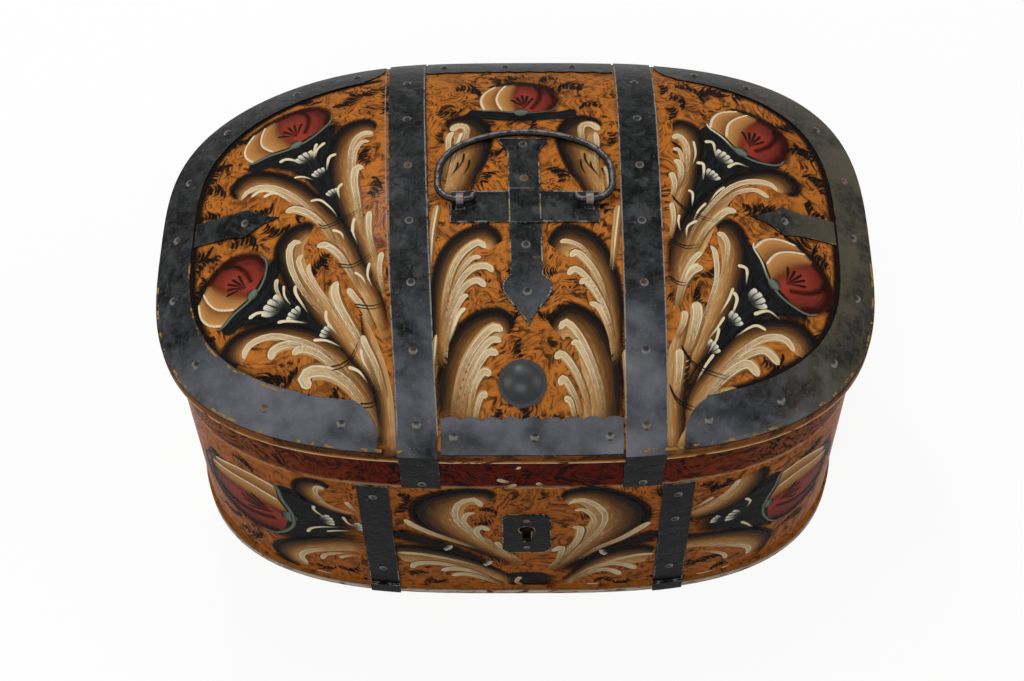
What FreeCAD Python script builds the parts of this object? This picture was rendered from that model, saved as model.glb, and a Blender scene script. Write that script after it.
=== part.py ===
import FreeCAD, Part
import math
import os

# A bentwood travelling box: an oval hoop on a base board, a hollowed domed lid on a hoop of its own,
# iron straps and edge bands, two strap hinges, a lid handle and a chest lock.
# Millimetres. The front faces -Y, +X runs along the box, and the underside lies on Z = 0.

# Outline and lid
lid_length = 500.0
lid_width = 342.0
dome_rise = 49.0
corner_power = 3.16
slack_corner_power = 2.63
slack_corner_angle = math.radians(135.0)
slack_corner_spread = 4
dome_power = 3.0
panel_edge = 8.5
panel_thickness = 9.0
overhang = 7.0
lid_hoop_height = 44.8
hoop_thickness = 8.0
lid_gap = 0.3

# Body
body_height = 159.0
base_thickness = 10.0
base_foot = 2.0

# Ironwork on the lid
iron = 1.2
bedding = 0.15
lid_strap_width = 27.0
left_strap_front_x = -63.0
left_strap_back_x = -81.0
right_strap_front_x = 87.0
right_strap_back_x = 87.0
edge_reveal = 0.5
end_band_side = 25.0
end_band_flank = 27.0
left_band_front_x = -90.0
left_band_back_x = -97.0
right_band_front_x = 113.0
right_band_back_x = 104.0
band_end_round = 14.0
middle_band_gap = 1.6
front_band_width = 19.0
back_band_width = 24.0
scallop_depth = 1.6
scallop_count = 9
side_strap_width = 20.0
side_strap_shoulder = 24.0
side_strap_length = 61.0
side_strap_point = 24.0
side_strap_y = -1.0

# Cross plates under the handle
cross_x = 7.4
upright_width = 22.0
upright_flare = 34.0
upright_back_y = 59.0
upright_flare_length = 14.0
upright_flare_edge = 4.0
upright_front_y = -98.0
arrow_width = 33.0
arrow_length = 30.0
arrow_shoulder = 10.0
upright_lean = math.radians(1.4)
cross_bar_length = 102.0
cross_bar_width = 26.5
cross_bar_y = -2.5
plate_clearance = 0.3

# Handle
rod_radius = 2.5
handle_width = 125.0
handle_depth = 66.0
handle_low_corner = 15.0
handle_shoulder = 34.0
handle_shoulder_turn = math.radians(60.0)
hook_radius = 4.5
hook_inset = 9.0
staple_spacing = 88.6
staple_width = 5.0
staple_metal = 1.6
staple_clearance = 0.45
handle_clearance = 0.4
clinch_length = 6.0

# Boss
boss_x = 5.8
boss_y = -131.0
boss_radius = 16.0
boss_height = 6.5
boss_rim = 1.2
boss_shank_radius = 2.0
boss_shank = 9.0

# Ironwork on the body
front_strap_width = 22.0
front_strap_left_x = -98.0
front_strap_right_x = 112.4
strap_foot = 34.0
foot_relief = 0.25
strap_top_gap = 1.0

# Strap hinges
pin_radius = 2.0
pin_clearance = 0.05
eye_metal = 1.7
barrel_gap = 0.5
knuckle_gap = 0.4
barrel_clearance = 0.5
web_overlap = 6.0
pin_head = 1.0
pin_head_radius = 3.0
pin_end_gap = 0.1

# Lock
lock_x = 7.8
lock_plate_width = 34.8
lock_plate_height = 55.6
lock_plate_z = 93.6
lock_plate_corner = 5.0
lock_plate_metal = 1.4
keyhole_z = 100.0
keyhole_radius = 5.2
keyhole_slot_width = 6.4
keyhole_slot_drop = 18.0
case_left = 52.0
case_right = 28.0
case_low_z = 78.0
case_top_gap = 2.0
case_metal = 1.2
case_flange = 7.0
case_clearance = 0.5
bolt_thickness = 4.0
bolt_height = 10.0
bolt_z = 132.0
bolt_length = 44.0
bolt_travel = 8.0
bolt_stand_off = 1.0
bolt_tail_width = 28.0
bolt_tail_height = 9.0
bolt_neck_width = 6.5
bolt_notch_width = 6.0
bolt_notch_depth = 4.0
bolt_play = 0.3
keeper_width = 4.0
keeper_metal = 2.0
spring_metal = 0.8
spring_width = 3.6
spring_sag = 0.6
spring_stud_radius = 2.4
lock_post_radius = 1.8
lock_post_gap = 1.0
catch_length = 5.0
catch_metal = 2.2
catch_play = 0.5
catch_swing = 2.4
catch_below_eye = 3.0
catch_plate_width = 30.0
catch_plate_height = 22.0
catch_plate_metal = 2.0
catch_plate_gap = 1.5

# Nails, pegs and seams
nail_head_radius = 3.0
nail_head_height = 1.2
nail_shank_radius = 1.1
nail_shank = 6.6
nail_fit = 0.05
small_head_radius = 2.2
small_head_height = 1.0
peg_radius = 2.2
peg_length = 26.0
peg_recess = 0.4
seam_width = 0.8
seam_depth = 0.9
lid_seam_x = -77.0
lid_seam_round = 9.0
lid_seam_margin = 2.5
body_seam_x = -20.0
body_seam_margin = 4.0
stitch_width = 6.0
stitch_length = 15.0
stitch_depth = 0.9
stitch_play = 0.1

# Construction
overrun = 4.0
full_turn = 360.0
outline_points = 72
surface_columns = 45
surface_rows = 33
surface_margin = 12.0
search_steps = 48
gradient_share = 0.001

# Places along the straps, as shares of half the lid's width, from the back to the front
lid_strap_nail_shares = (0.745, 0.474, 0.205, -0.078, -0.37, -0.647, -0.905)
# Places round the outline, as shares of a turn from +X
left_band_nail_shares = (0.327, 0.358, 0.403, 0.449, 0.5, 0.551, 0.601, 0.644, 0.677)
right_band_nail_shares = (0.832, 0.864, 0.899, 0.949, 0.0, 0.05, 0.094, 0.14, 0.165)
front_band_nail_shares = (0.724, 0.759, 0.791)
back_band_nail_shares = (0.285, 0.255, 0.222)
peg_turn_shares = (0.0, 0.07, 0.13, 0.25, 0.37, 0.43, 0.5, 0.57, 0.63, 0.75, 0.87, 0.93)
# Places along the upright and the side straps, as shares of their own lengths
upright_nail_shares = (0.02, 0.225, 0.6, 0.84)
side_strap_nail_share = 0.6
# Heights on the body's straps, as shares of the body's height
front_strap_nail_shares = (0.9, 0.22)
right_strap_middle_share = 0.677
rear_strap_nail_shares = (0.86, 0.54, 0.22)
lid_hoop_nail_share = 0.13
lock_plate_nail_share = 0.36
# Rows of root stitching, as shares of the hoop's height
body_stitch_shares = (0.12, 0.31, 0.5, 0.69, 0.88)
# Where the arrowhead's side draws in, how hollow the flare is, and where the side strap's point pinches in
arrow_waist_share = 0.45
arrow_waist_width_share = 0.4
flare_hollow_share = 0.32
point_pinch_share = 0.45
point_pinch_width_share = 0.3

# Heights that follow from the sizes above
hoop_low_z = body_height + lid_gap
panel_low_z = hoop_low_z + lid_hoop_height
edge_z = panel_low_z + panel_edge
crown_z = edge_z + dome_rise
foot_pocket = foot_relief + iron + bedding
up = FreeCAD.Vector(0, 0, 1)


def corner_power_at(angle):
    pull = max(0.0, math.cos(angle - slack_corner_angle)) ** slack_corner_spread
    return corner_power - (corner_power - slack_corner_power) * pull


# 1 on the outline of these half sizes, less inside it and more outside it.
def reach(x, y, half_length, half_width):
    power = corner_power_at(math.atan2(y / half_width, x / half_length))
    return ((abs(x) / half_length) ** power + (abs(y) / half_width) ** power) ** (1 / power)


# Point on the outline drawn in by an inset along each axis.
def outline_point(turn_share, inset_x, inset_y, z):
    half_length = lid_length / 2 - inset_x
    half_width = lid_width / 2 - inset_y
    angle = 2 * math.pi * turn_share
    x = half_length * math.cos(angle)
    y = half_width * math.sin(angle)
    size = reach(x, y, half_length, half_width)
    return FreeCAD.Vector(x / size, y / size, z)


# The outline's Y at a given X, on the front (side -1) or the back (side 1).
def outline_y(x, side, inset):
    half_length = lid_length / 2 - inset
    half_width = lid_width / 2 - inset
    near = 0.0
    far = half_width
    for _ in range(search_steps):
        middle = (near + far) / 2
        if reach(x, side * middle, half_length, half_width) < 1:
            near = middle
        else:
            far = middle
    return side * near


def dome_z(x, y):
    return edge_z + dome_rise * (1 - reach(x, y, lid_length / 2, lid_width / 2) ** dome_power)


def oval_prism(inset_x, inset_y, z_low, z_high):
    points = []
    for i in range(outline_points):
        points.append(outline_point(i / outline_points, inset_x, inset_y, z_low))
    curve = Part.BSplineCurve()
    curve.interpolate(Points=points, PeriodicFlag=True)
    return Part.Face(Part.Wire(curve.toShape())).extrude(up * (z_high - z_low))


def hoop(inset, thickness, z_low, z_high):
    outside = oval_prism(inset, inset, z_low, z_high)
    inside = oval_prism(inset + thickness, inset + thickness, z_low - overrun, z_high + overrun)
    return outside.cut(inside)


def dome_sheet():
    half_length = lid_length / 2 + surface_margin
    half_width = lid_width / 2 + surface_margin
    grid = []
    for i in range(surface_columns):
        x = half_length * (2 * i / (surface_columns - 1) - 1)
        column = []
        for j in range(surface_rows):
            y = half_width * (2 * j / (surface_rows - 1) - 1)
            column.append(FreeCAD.Vector(x, y, dome_z(x, y)))
        grid.append(column)
    surface = Part.BSplineSurface()
    surface.interpolate(grid)
    return surface.toShape()


dome = dome_sheet()


# The space between two rises above the dome.
def dome_layer(low, high):
    return dome.translated(up * low).extrude(up * (high - low))


def under_dome(rise):
    depth = dome_rise + panel_edge + 2 * overrun
    return dome.translated(up * rise).extrude(up * -depth)


def box(x_low, x_high, y_low, y_high, z_low, z_high):
    corner = FreeCAD.Vector(x_low, y_low, z_low)
    return Part.makeBox(x_high - x_low, y_high - y_low, z_high - z_low, corner)


def prism(corners, z_low, z_high):
    points = [FreeCAD.Vector(x, y, z_low) for x, y in corners]
    return Part.Face(Part.makePolygon(points + points[:1])).extrude(up * (z_high - z_low))


def x_cylinder(radius, x_low, x_high, y, z):
    return Part.makeCylinder(radius, x_high - x_low, FreeCAD.Vector(x_low, y, z), FreeCAD.Vector(1, 0, 0))


def y_cylinder(radius, y_low, y_high, x, z):
    return Part.makeCylinder(radius, y_high - y_low, FreeCAD.Vector(x, y_low, z), FreeCAD.Vector(0, 1, 0))


# Places for nails: a point and the direction that the head faces.
def dome_place(x, y, rise):
    step = lid_length * gradient_share
    slope_x = (dome_z(x + step, y) - dome_z(x - step, y)) / (2 * step)
    slope_y = (dome_z(x, y + step) - dome_z(x, y - step)) / (2 * step)
    facing = FreeCAD.Vector(-slope_x, -slope_y, 1).normalize()
    return FreeCAD.Vector(x, y, dome_z(x, y) + rise), facing


def wall_place(x, z, side, inset):
    step = lid_length * gradient_share
    slope = (outline_y(x + step, side, inset) - outline_y(x - step, side, inset)) / (2 * step)
    facing = FreeCAD.Vector(-slope * side, side, 0).normalize()
    return FreeCAD.Vector(x, outline_y(x, side, inset), z), facing


def stand(shape, place):
    point, facing = place
    turned = shape.copy()
    turned.Placement = FreeCAD.Placement(point, FreeCAD.Rotation(up, facing))
    return turned


# A domed head that sits on Z = 0, with its shank pointing down.
def nail(head_radius, head_height, shank_radius, shank):
    sphere = (head_radius ** 2 + head_height ** 2) / (2 * head_height)
    half_angle = math.asin(head_radius / sphere) / 2
    middle_drop = sphere * (1 - math.cos(half_angle))
    rim = FreeCAD.Vector(head_radius, 0, 0)
    middle = FreeCAD.Vector(sphere * math.sin(half_angle), 0, head_height - middle_drop)
    crown = FreeCAD.Vector(0, 0, head_height)
    tip = FreeCAD.Vector(0, 0, -shank)
    tip_side = FreeCAD.Vector(shank_radius, 0, -shank)
    neck = FreeCAD.Vector(shank_radius, 0, 0)
    edges = [
        Part.makeLine(tip, tip_side),
        Part.makeLine(tip_side, neck),
        Part.makeLine(neck, rim),
        Part.Arc(rim, middle, crown).toShape(),
        Part.makeLine(crown, tip),
    ]
    return Part.Face(Part.Wire(edges)).revolve(FreeCAD.Vector(), up, full_turn)


def nails(places, head_radius=nail_head_radius, head_height=nail_head_height, shank=nail_shank):
    pattern = nail(head_radius, head_height, nail_shank_radius, shank)
    return Part.makeCompound([stand(pattern, place) for place in places])


def nail_holes(places, shank=nail_shank):
    length = shank + nail_fit + overrun
    start = FreeCAD.Vector(0, 0, -shank - nail_fit)
    drill = Part.makeCylinder(nail_shank_radius + nail_fit, length, start)
    return [stand(drill, place) for place in places]


# The lid's outside, grown by a clearance, within one region of the plan.
def lid_core(clear, region):
    top = region.common(oval_prism(-clear, -clear, panel_low_z - clear, crown_z + overrun))
    top = top.common(under_dome(clear))
    inset = overhang - clear
    skirt = region.common(oval_prism(inset, inset, body_height - 2 * overrun, panel_low_z))
    return top.fuse(skirt)


# The body's outside, grown by a clearance, with the pocket for a strap's foot under the base.
def body_core(clear, region):
    inset = overhang - clear
    wall = region.common(oval_prism(inset, inset, base_thickness, body_height + 2 * overrun))
    inset = overhang - base_foot - clear
    base = region.common(oval_prism(inset, inset, foot_pocket - clear, base_thickness + clear))
    return wall.fuse(base)


def strap_plan(front_x, back_x, width, z_low, z_high):
    y = lid_width / 2 + 2 * overrun
    half = width / 2
    corners = [(front_x - half, -y), (front_x + half, -y), (back_x + half, y), (back_x - half, y)]
    return prism(corners, z_low, z_high)


# Hinge places. The barrel lies along X just behind the wall, level with the joint.
barrel_radius = pin_radius + pin_clearance + eye_metal
hinge_z = body_height + lid_gap / 2
knuckle_length = (lid_strap_width - 2 * knuckle_gap) / 3
knuckle_end_xs = [x + side * lid_strap_width / 2 for x in (left_strap_back_x, right_strap_back_x) for side in (-1, 1)]
hinge_wall_y = max(outline_y(x, 1, overhang) for x in knuckle_end_xs)
hinge_y = hinge_wall_y + barrel_gap + barrel_radius


def knuckle(x_low, x_high):
    return x_cylinder(barrel_radius, x_low, x_high, hinge_y, hinge_z)


# The leaf's flat root that joins an eye to the strap, above (side 1) or below (side -1) the joint.
def knuckle_root(x_low, x_high, side):
    root_length = side * (barrel_radius + barrel_clearance + web_overlap)
    ends = sorted((hinge_z, hinge_z + root_length))
    y_low = hinge_y - barrel_radius - 2 * iron
    y_high = hinge_y - barrel_radius + iron
    return box(x_low, x_high, y_low, y_high, ends[0], ends[1])


def pin_bore(x):
    reach_x = lid_strap_width / 2 + overrun
    return x_cylinder(pin_radius + pin_clearance, x - reach_x, x + reach_x, hinge_y, hinge_z)


def outer_knuckle_spans(x):
    half = lid_strap_width / 2
    return ((x - half, x - half + knuckle_length), (x + half - knuckle_length, x + half))


def lid_strap_places(front_x, back_x):
    places = []
    for share in lid_strap_nail_shares:
        y = share * lid_width / 2
        x = front_x + (back_x - front_x) * (y / lid_width + 1 / 2)
        places.append(dome_place(x, y, bedding + iron))
    z = hoop_low_z + lid_hoop_nail_share * lid_hoop_height
    places.append(wall_place(front_x, z, -1, overhang - bedding - iron))
    return places


def lid_strap(front_x, back_x):
    low = hoop_low_z + bedding
    plan = strap_plan(front_x, back_x, lid_strap_width, low, crown_z + 2 * overrun)
    core_plan = strap_plan(front_x, back_x, lid_strap_width + 2 * overrun, low - overrun, crown_z + 2 * overrun)
    core = lid_core(bedding, core_plan)
    strap = lid_core(bedding + iron, plan).cut(core)
    barrel_space = barrel_radius + barrel_clearance
    half = lid_strap_width
    y_low = hinge_y - barrel_radius - hoop_thickness
    y_high = hinge_y + barrel_space
    strap = strap.cut(box(back_x - half, back_x + half, y_low, y_high, low - overrun, hinge_z + barrel_space))
    half_knuckle = knuckle_length / 2
    root = knuckle_root(back_x - half_knuckle, back_x + half_knuckle, 1).cut(core)
    eye = knuckle(back_x - half_knuckle, back_x + half_knuckle)
    strap = strap.fuse([root, eye]).cut(pin_bore(back_x))
    return strap.cut(nail_holes(lid_strap_places(front_x, back_x)))


def body_strap_places(x, side, shares):
    inset = overhang - bedding - iron
    return [wall_place(x, share * body_height, side, inset) for share in shares]


def body_strap(x, width, side, z_high):
    edge = lid_width / 2 + overrun
    foot_end = outline_y(x, 1, overhang - base_foot) - strap_foot
    ends = sorted((side * edge, side * foot_end))
    core_ends = sorted((side * edge, side * (foot_end - overrun)))
    half = width / 2
    wide = half + overrun
    plan = box(x - half, x + half, ends[0], ends[1], 0, z_high)
    core_plan = box(x - wide, x + wide, core_ends[0], core_ends[1], 0, z_high + overrun)
    return body_core(bedding + iron, plan).cut(body_core(bedding, core_plan))


def front_strap(x, places):
    strap = body_strap(x, front_strap_width, -1, body_height - strap_top_gap)
    return strap.cut(nail_holes(places))


def rear_strap(x):
    strap = body_strap(x, lid_strap_width, 1, hinge_z - barrel_radius - barrel_clearance)
    inset = overhang - bedding
    wall = oval_prism(inset, inset, base_thickness, hinge_z)
    for x_low, x_high in outer_knuckle_spans(x):
        strap = strap.fuse([knuckle_root(x_low, x_high, -1).cut(wall), knuckle(x_low, x_high)])
    strap = strap.cut(pin_bore(x))
    return strap.cut(nail_holes(body_strap_places(x, 1, rear_strap_nail_shares)))


def hinge_pin(x):
    half = lid_strap_width / 2 + pin_end_gap
    shaft = x_cylinder(pin_radius, x - half, x + half, hinge_y, hinge_z)
    left_head = x_cylinder(pin_head_radius, x - half - pin_head, x - half, hinge_y, hinge_z)
    right_head = x_cylinder(pin_head_radius, x + half, x + half + pin_head, hinge_y, hinge_z)
    return shaft.fuse([left_head, right_head])


# A rounded tongue end scored into a hoop: the line where the hoop's outer end lies over its inner end.
def seam_line(x, side, z_low, z_high, margin, round_radius):
    y = side * lid_width / 2
    far_x = x - 3 * round_radius
    low = z_low + margin
    high = z_high - margin
    outer = rounded_end(far_x, x, low, high, round_radius, y)
    inner = rounded_end(far_x - overrun, x - seam_width, low + seam_width, high - seam_width, round_radius, y)
    return outer.cut(inner)


def rounded_end(x_low, x_high, z_low, z_high, radius, y):
    depth = 2 * (overhang + hoop_thickness + overrun)
    body = box(x_low, x_high - radius, y - depth / 2, y + depth / 2, z_low, z_high)
    tip = box(x_high - 2 * radius, x_high, y - depth / 2, y + depth / 2, z_low + radius, z_high - radius)
    low_round = y_cylinder(radius, y - depth / 2, y + depth / 2, x_high - radius, z_low + radius)
    high_round = y_cylinder(radius, y - depth / 2, y + depth / 2, x_high - radius, z_high - radius)
    return body.fuse([tip, low_round, high_round])


def hoop_skin(z_low, z_high):
    return hoop(overhang - overrun, overrun + seam_depth, z_low, z_high)


# Root stitching sits in shallow slots across the body's seam at the back.
def stitch_blocks(play):
    half_length = stitch_length / 2 + play
    half_width = stitch_width / 2 + play
    x = body_seam_x - seam_width / 2
    inner_y = outline_y(x, 1, overhang + hoop_thickness)
    blocks = []
    for share in body_stitch_shares:
        z = base_thickness + share * (body_height - base_thickness)
        block = box(x - half_length, x + half_length, inner_y, lid_width / 2, z - half_width, z + half_width)
        blocks.append(block)
    ring = hoop(overhang - play, stitch_depth + 2 * play, base_thickness, body_height)
    return ring.common(Part.makeCompound(blocks))


# Edge bands
def end_band(side, front_x, back_x, shares):
    outer = oval_prism(edge_reveal, edge_reveal, panel_low_z, crown_z + overrun)
    inner = oval_prism(end_band_side, end_band_flank, panel_low_z - overrun, crown_z + 2 * overrun)
    far_x = side * lid_length
    far_y = lid_width
    front_edge = outline_y(front_x, -1, edge_reveal)
    back_edge = outline_y(back_x, 1, edge_reveal)
    front_low = outline_y(front_x, -1, end_band_flank) + seam_width
    back_low = outline_y(back_x, 1, end_band_flank) - seam_width
    front_turn = front_x + side * band_end_round
    back_turn = back_x + side * band_end_round
    bulge = side * band_end_round * (1 - math.sqrt(1 / 2))
    z = panel_low_z - overrun
    corners = [
        FreeCAD.Vector(far_x, -far_y, z),
        FreeCAD.Vector(front_x, -far_y, z),
        FreeCAD.Vector(front_x, front_edge, z),
        FreeCAD.Vector(front_turn, front_low, z),
        FreeCAD.Vector(back_turn, back_low, z),
        FreeCAD.Vector(back_x, back_edge, z),
        FreeCAD.Vector(back_x, far_y, z),
        FreeCAD.Vector(far_x, far_y, z),
    ]
    rise_share = math.sqrt(1 / 2)
    front_mid_y = front_edge + (front_low - front_edge) * rise_share
    back_mid_y = back_edge + (back_low - back_edge) * rise_share
    front_middle = FreeCAD.Vector(front_x + bulge, front_mid_y, z)
    back_middle = FreeCAD.Vector(back_x + bulge, back_mid_y, z)
    edges = [
        Part.makeLine(corners[0], corners[1]),
        Part.makeLine(corners[1], corners[2]),
        Part.Arc(corners[2], front_middle, corners[3]).toShape(),
        Part.makeLine(corners[3], corners[4]),
        Part.Arc(corners[4], back_middle, corners[5]).toShape(),
        Part.makeLine(corners[5], corners[6]),
        Part.makeLine(corners[6], corners[7]),
        Part.makeLine(corners[7], corners[0]),
    ]
    plan = Part.Face(Part.Wire(edges)).extrude(up * (crown_z + 3 * overrun - z))
    band = outer.cut(inner).common(plan).common(dome_layer(bedding, bedding + iron))
    return band.cut(nail_holes(end_band_places(shares)))


def end_band_places(shares):
    places = []
    for share in shares:
        point = outline_point(share, end_band_side / 2, end_band_flank / 2, 0)
        places.append(dome_place(point.x, point.y, bedding + iron))
    return places


def strap_edge_x(front_x, back_x, side, edge):
    middle_share = 1 / 2 + side * 1 / 2
    x = front_x + (back_x - front_x) * middle_share
    return x + edge * (lid_strap_width / 2 + middle_band_gap)


# The short band between the two straps, with an inner edge cut in scallops.
def middle_band(side, width, shares):
    x_low = strap_edge_x(left_strap_front_x, left_strap_back_x, side, 1)
    x_high = strap_edge_x(right_strap_front_x, right_strap_back_x, side, -1)
    z = panel_low_z
    step = (x_high - x_low) / scallop_count
    far = side * lid_width
    edges = []
    for i in range(scallop_count):
        x = x_low + i * step
        start = FreeCAD.Vector(x, outline_y(x, side, width), z)
        middle_x = x + step / 2
        middle = FreeCAD.Vector(middle_x, outline_y(middle_x, side, width) - side * scallop_depth, z)
        end = FreeCAD.Vector(x + step, outline_y(x + step, side, width), z)
        edges.append(Part.Arc(start, middle, end).toShape())
    first = edges[0].Vertexes[0].Point
    last = edges[-1].Vertexes[-1].Point
    last_far = FreeCAD.Vector(last.x, far, z)
    first_far = FreeCAD.Vector(first.x, far, z)
    edges.append(Part.makeLine(last, last_far))
    edges.append(Part.makeLine(last_far, first_far))
    edges.append(Part.makeLine(first_far, first))
    plan = Part.Face(Part.Wire(edges)).extrude(up * (dome_rise + 2 * overrun + panel_edge))
    outer = oval_prism(edge_reveal, edge_reveal, panel_low_z, crown_z + overrun)
    band = outer.common(plan).common(dome_layer(bedding, bedding + iron))
    return band.cut(nail_holes(middle_band_places(shares, width)))


def middle_band_places(shares, width):
    places = []
    for share in shares:
        point = outline_point(share, width / 2, width / 2, 0)
        places.append(dome_place(point.x, point.y, bedding + iron))
    return places


# A strap that runs from the end band towards the middle and ends in a spear point.
def side_strap_start():
    return lid_length / 2 - end_band_side - middle_band_gap


def side_strap_place(side):
    x = side_strap_start() - side_strap_nail_share * side_strap_length
    return dome_place(side * x, side_strap_y, bedding + iron)


def side_strap(side):
    start = side_strap_start()
    tip = start - side_strap_length
    shoulder = tip + side_strap_point
    pinch = tip + side_strap_point * point_pinch_share
    half = side_strap_width / 2
    wide = side_strap_shoulder / 2
    narrow = wide * point_pinch_width_share
    swell = shoulder + side_strap_point / 2
    one_edge = [(start, half), (swell, half), (shoulder, wide), (pinch, narrow)]
    other_edge = [(x, -y) for x, y in reversed(one_edge)]
    outline = [(side * x, side_strap_y + y) for x, y in one_edge + [(tip, 0)] + other_edge]
    plan = prism(outline, edge_z, crown_z + overrun)
    strap = plan.common(dome_layer(bedding, bedding + iron))
    return strap.cut(nail_holes([side_strap_place(side)]))


# Cross plates
def cross_bar_plan(grow):
    half_length = cross_bar_length / 2 + grow
    half_width = cross_bar_width / 2 + grow
    x_low = cross_x - half_length
    x_high = cross_x + half_length
    return box(x_low, x_high, cross_bar_y - half_width, cross_bar_y + half_width, edge_z, crown_z + 2 * overrun)


def staple_xs():
    return (cross_x - staple_spacing / 2, cross_x + staple_spacing / 2)


def handle_cross_bar():
    bar = cross_bar_plan(0).common(dome_layer(bedding, bedding + iron))
    return bar.cut([staple_cut(x) for x in staple_xs()])


# The upright from above: a hollow-sided flare at the back and a leaf-shaped head at the front, leaning a little.
def upright_plan(z_low, z_high):
    half = upright_width / 2
    flare = upright_flare / 2
    arrow = arrow_width / 2
    neck_y = upright_back_y - upright_flare_length

    def place(x, y):
        return FreeCAD.Vector(cross_x + x - (y - cross_bar_y) * math.tan(upright_lean), y, z_low)

    edges = [Part.makeLine(place(-flare, upright_back_y), place(flare, upright_back_y))]
    for side in (-1, 1):
        corner = place(side * flare, upright_back_y)
        flare_end = place(side * flare, upright_back_y - upright_flare_edge)
        hollow_x = half + (flare - half) * flare_hollow_share
        hollow = place(side * hollow_x, neck_y + upright_flare_length * flare_hollow_share)
        neck = place(side * half, neck_y)
        waist = place(side * half, upright_front_y + arrow_length + arrow_shoulder)
        widest = place(side * arrow, upright_front_y + arrow_length)
        drawn_x = side * arrow * arrow_waist_width_share
        drawn_in = place(drawn_x, upright_front_y + arrow_length * arrow_waist_share)
        tip = place(0, upright_front_y)
        head = Part.BSplineCurve()
        head.interpolate([waist, widest, drawn_in, tip])
        edges += [Part.makeLine(corner, flare_end), Part.Arc(flare_end, hollow, neck).toShape()]
        edges += [Part.makeLine(neck, waist), head.toShape()]
    outline = Part.Wire(Part.__sortEdges__(edges))
    return Part.Face(outline).extrude(up * (z_high - z_low))


def upright_places():
    places = []
    length = upright_back_y - upright_front_y
    for share in upright_nail_shares:
        y = upright_back_y - nail_head_radius - share * (length - 2 * nail_head_radius)
        x = cross_x - (y - cross_bar_y) * math.tan(upright_lean)
        places.append(dome_place(x, y, bedding + iron))
    return places


# The upright steps up over the cross bar, so it has a low layer, two risers and a high layer.
def handle_upright():
    plan = upright_plan(edge_z, crown_z + 2 * overrun)
    over_bar = 2 * bedding + iron
    half = cross_bar_width / 2 + plate_clearance
    x_low = cross_x - upright_width
    x_high = cross_x + upright_width
    z_low = edge_z
    z_high = crown_z + 2 * overrun
    tunnel = box(x_low, x_high, cross_bar_y - half, cross_bar_y + half, z_low, z_high)
    ramp = half + iron
    hump = box(x_low, x_high, cross_bar_y - ramp, cross_bar_y + ramp, z_low, z_high)
    low = plan.common(dome_layer(bedding, bedding + iron))
    high = plan.common(hump).common(dome_layer(bedding, over_bar + iron))
    space = tunnel.common(dome_layer(0, over_bar))
    upright = low.fuse(high).cut(space)
    return upright.cut(nail_holes(upright_places()))


# Handle: a bent rod whose hooked ends turn in two staples. It lies back on the lid at rest.
eye_radius = rod_radius + staple_clearance
pivot_y = 0.0
pivot_z = crown_z + 2 * bedding + iron + eye_radius + rod_radius / 2


def handle_rest_angle():
    reach_y = handle_depth - rod_radius
    crown_surface = dome_z(cross_x, pivot_y + reach_y)
    drop = pivot_z - (crown_surface + rod_radius + handle_clearance)
    return math.asin(drop / reach_y)


def handle_path():
    half = handle_width / 2 - rod_radius
    crown_y = handle_depth - rod_radius
    low = handle_low_corner
    top_turn = handle_shoulder_turn
    shoulder_x = half - handle_shoulder
    turn_x = shoulder_x + handle_shoulder * math.cos(top_turn)
    crown_radius = turn_x / math.cos(top_turn)
    crown_sag = crown_radius * (1 - math.sin(top_turn))
    turn_y = crown_y - crown_sag
    shoulder_y = turn_y - handle_shoulder * math.sin(top_turn)
    eye_x = staple_spacing / 2
    hook_x = eye_x - hook_inset + hook_radius
    crown_centre_y = crown_y - crown_radius

    def at(x, y):
        return FreeCAD.Vector(x, y, 0)

    def bend(centre_x, centre_y, radius, start, end):
        middle = (start + end) / 2
        points = []
        for angle in (start, middle, end):
            points.append(at(centre_x + radius * math.cos(angle), centre_y + radius * math.sin(angle)))
        return Part.Arc(points[0], points[1], points[2])

    quarter = math.pi / 2
    right = [
        bend(hook_x, hook_radius, hook_radius, -2 * quarter, -quarter),
        Part.LineSegment(at(hook_x, 0), at(half - low, 0)),
        bend(half - low, low, low, -quarter, 0),
        Part.LineSegment(at(half, low), at(half, shoulder_y)),
        bend(shoulder_x, shoulder_y, handle_shoulder, 0, top_turn),
    ]
    crown = bend(0, crown_centre_y, crown_radius, top_turn, math.pi - top_turn)
    edges = [piece.toShape() for piece in right] + [crown.toShape()]
    mirror = [piece.toShape().mirror(FreeCAD.Vector(), FreeCAD.Vector(1, 0, 0)) for piece in reversed(right)]
    return Part.Wire(edges + mirror), at(hook_x - hook_radius, hook_radius)


def bail_handle():
    path, start = handle_path()
    section = Part.Wire(Part.makeCircle(rod_radius, start, FreeCAD.Vector(0, 1, 0)))
    rod = path.makePipeShell([section], True, False)
    tilt = FreeCAD.Rotation(FreeCAD.Vector(1, 0, 0), -math.degrees(handle_rest_angle()))
    rod.Placement = FreeCAD.Placement(FreeCAD.Vector(cross_x, pivot_y, pivot_z), tilt)
    return rod


def staple_bar(x, half_width, top_radius, z_low):
    half = staple_width / 2
    arch = x_cylinder(top_radius, x - half, x + half, pivot_y, pivot_z)
    legs = box(x - half, x + half, pivot_y - half_width, pivot_y + half_width, z_low, pivot_z)
    return arch.fuse(legs)


def staple_low_z(x):
    return dome_z(x, pivot_y) - panel_thickness - bedding


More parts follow.
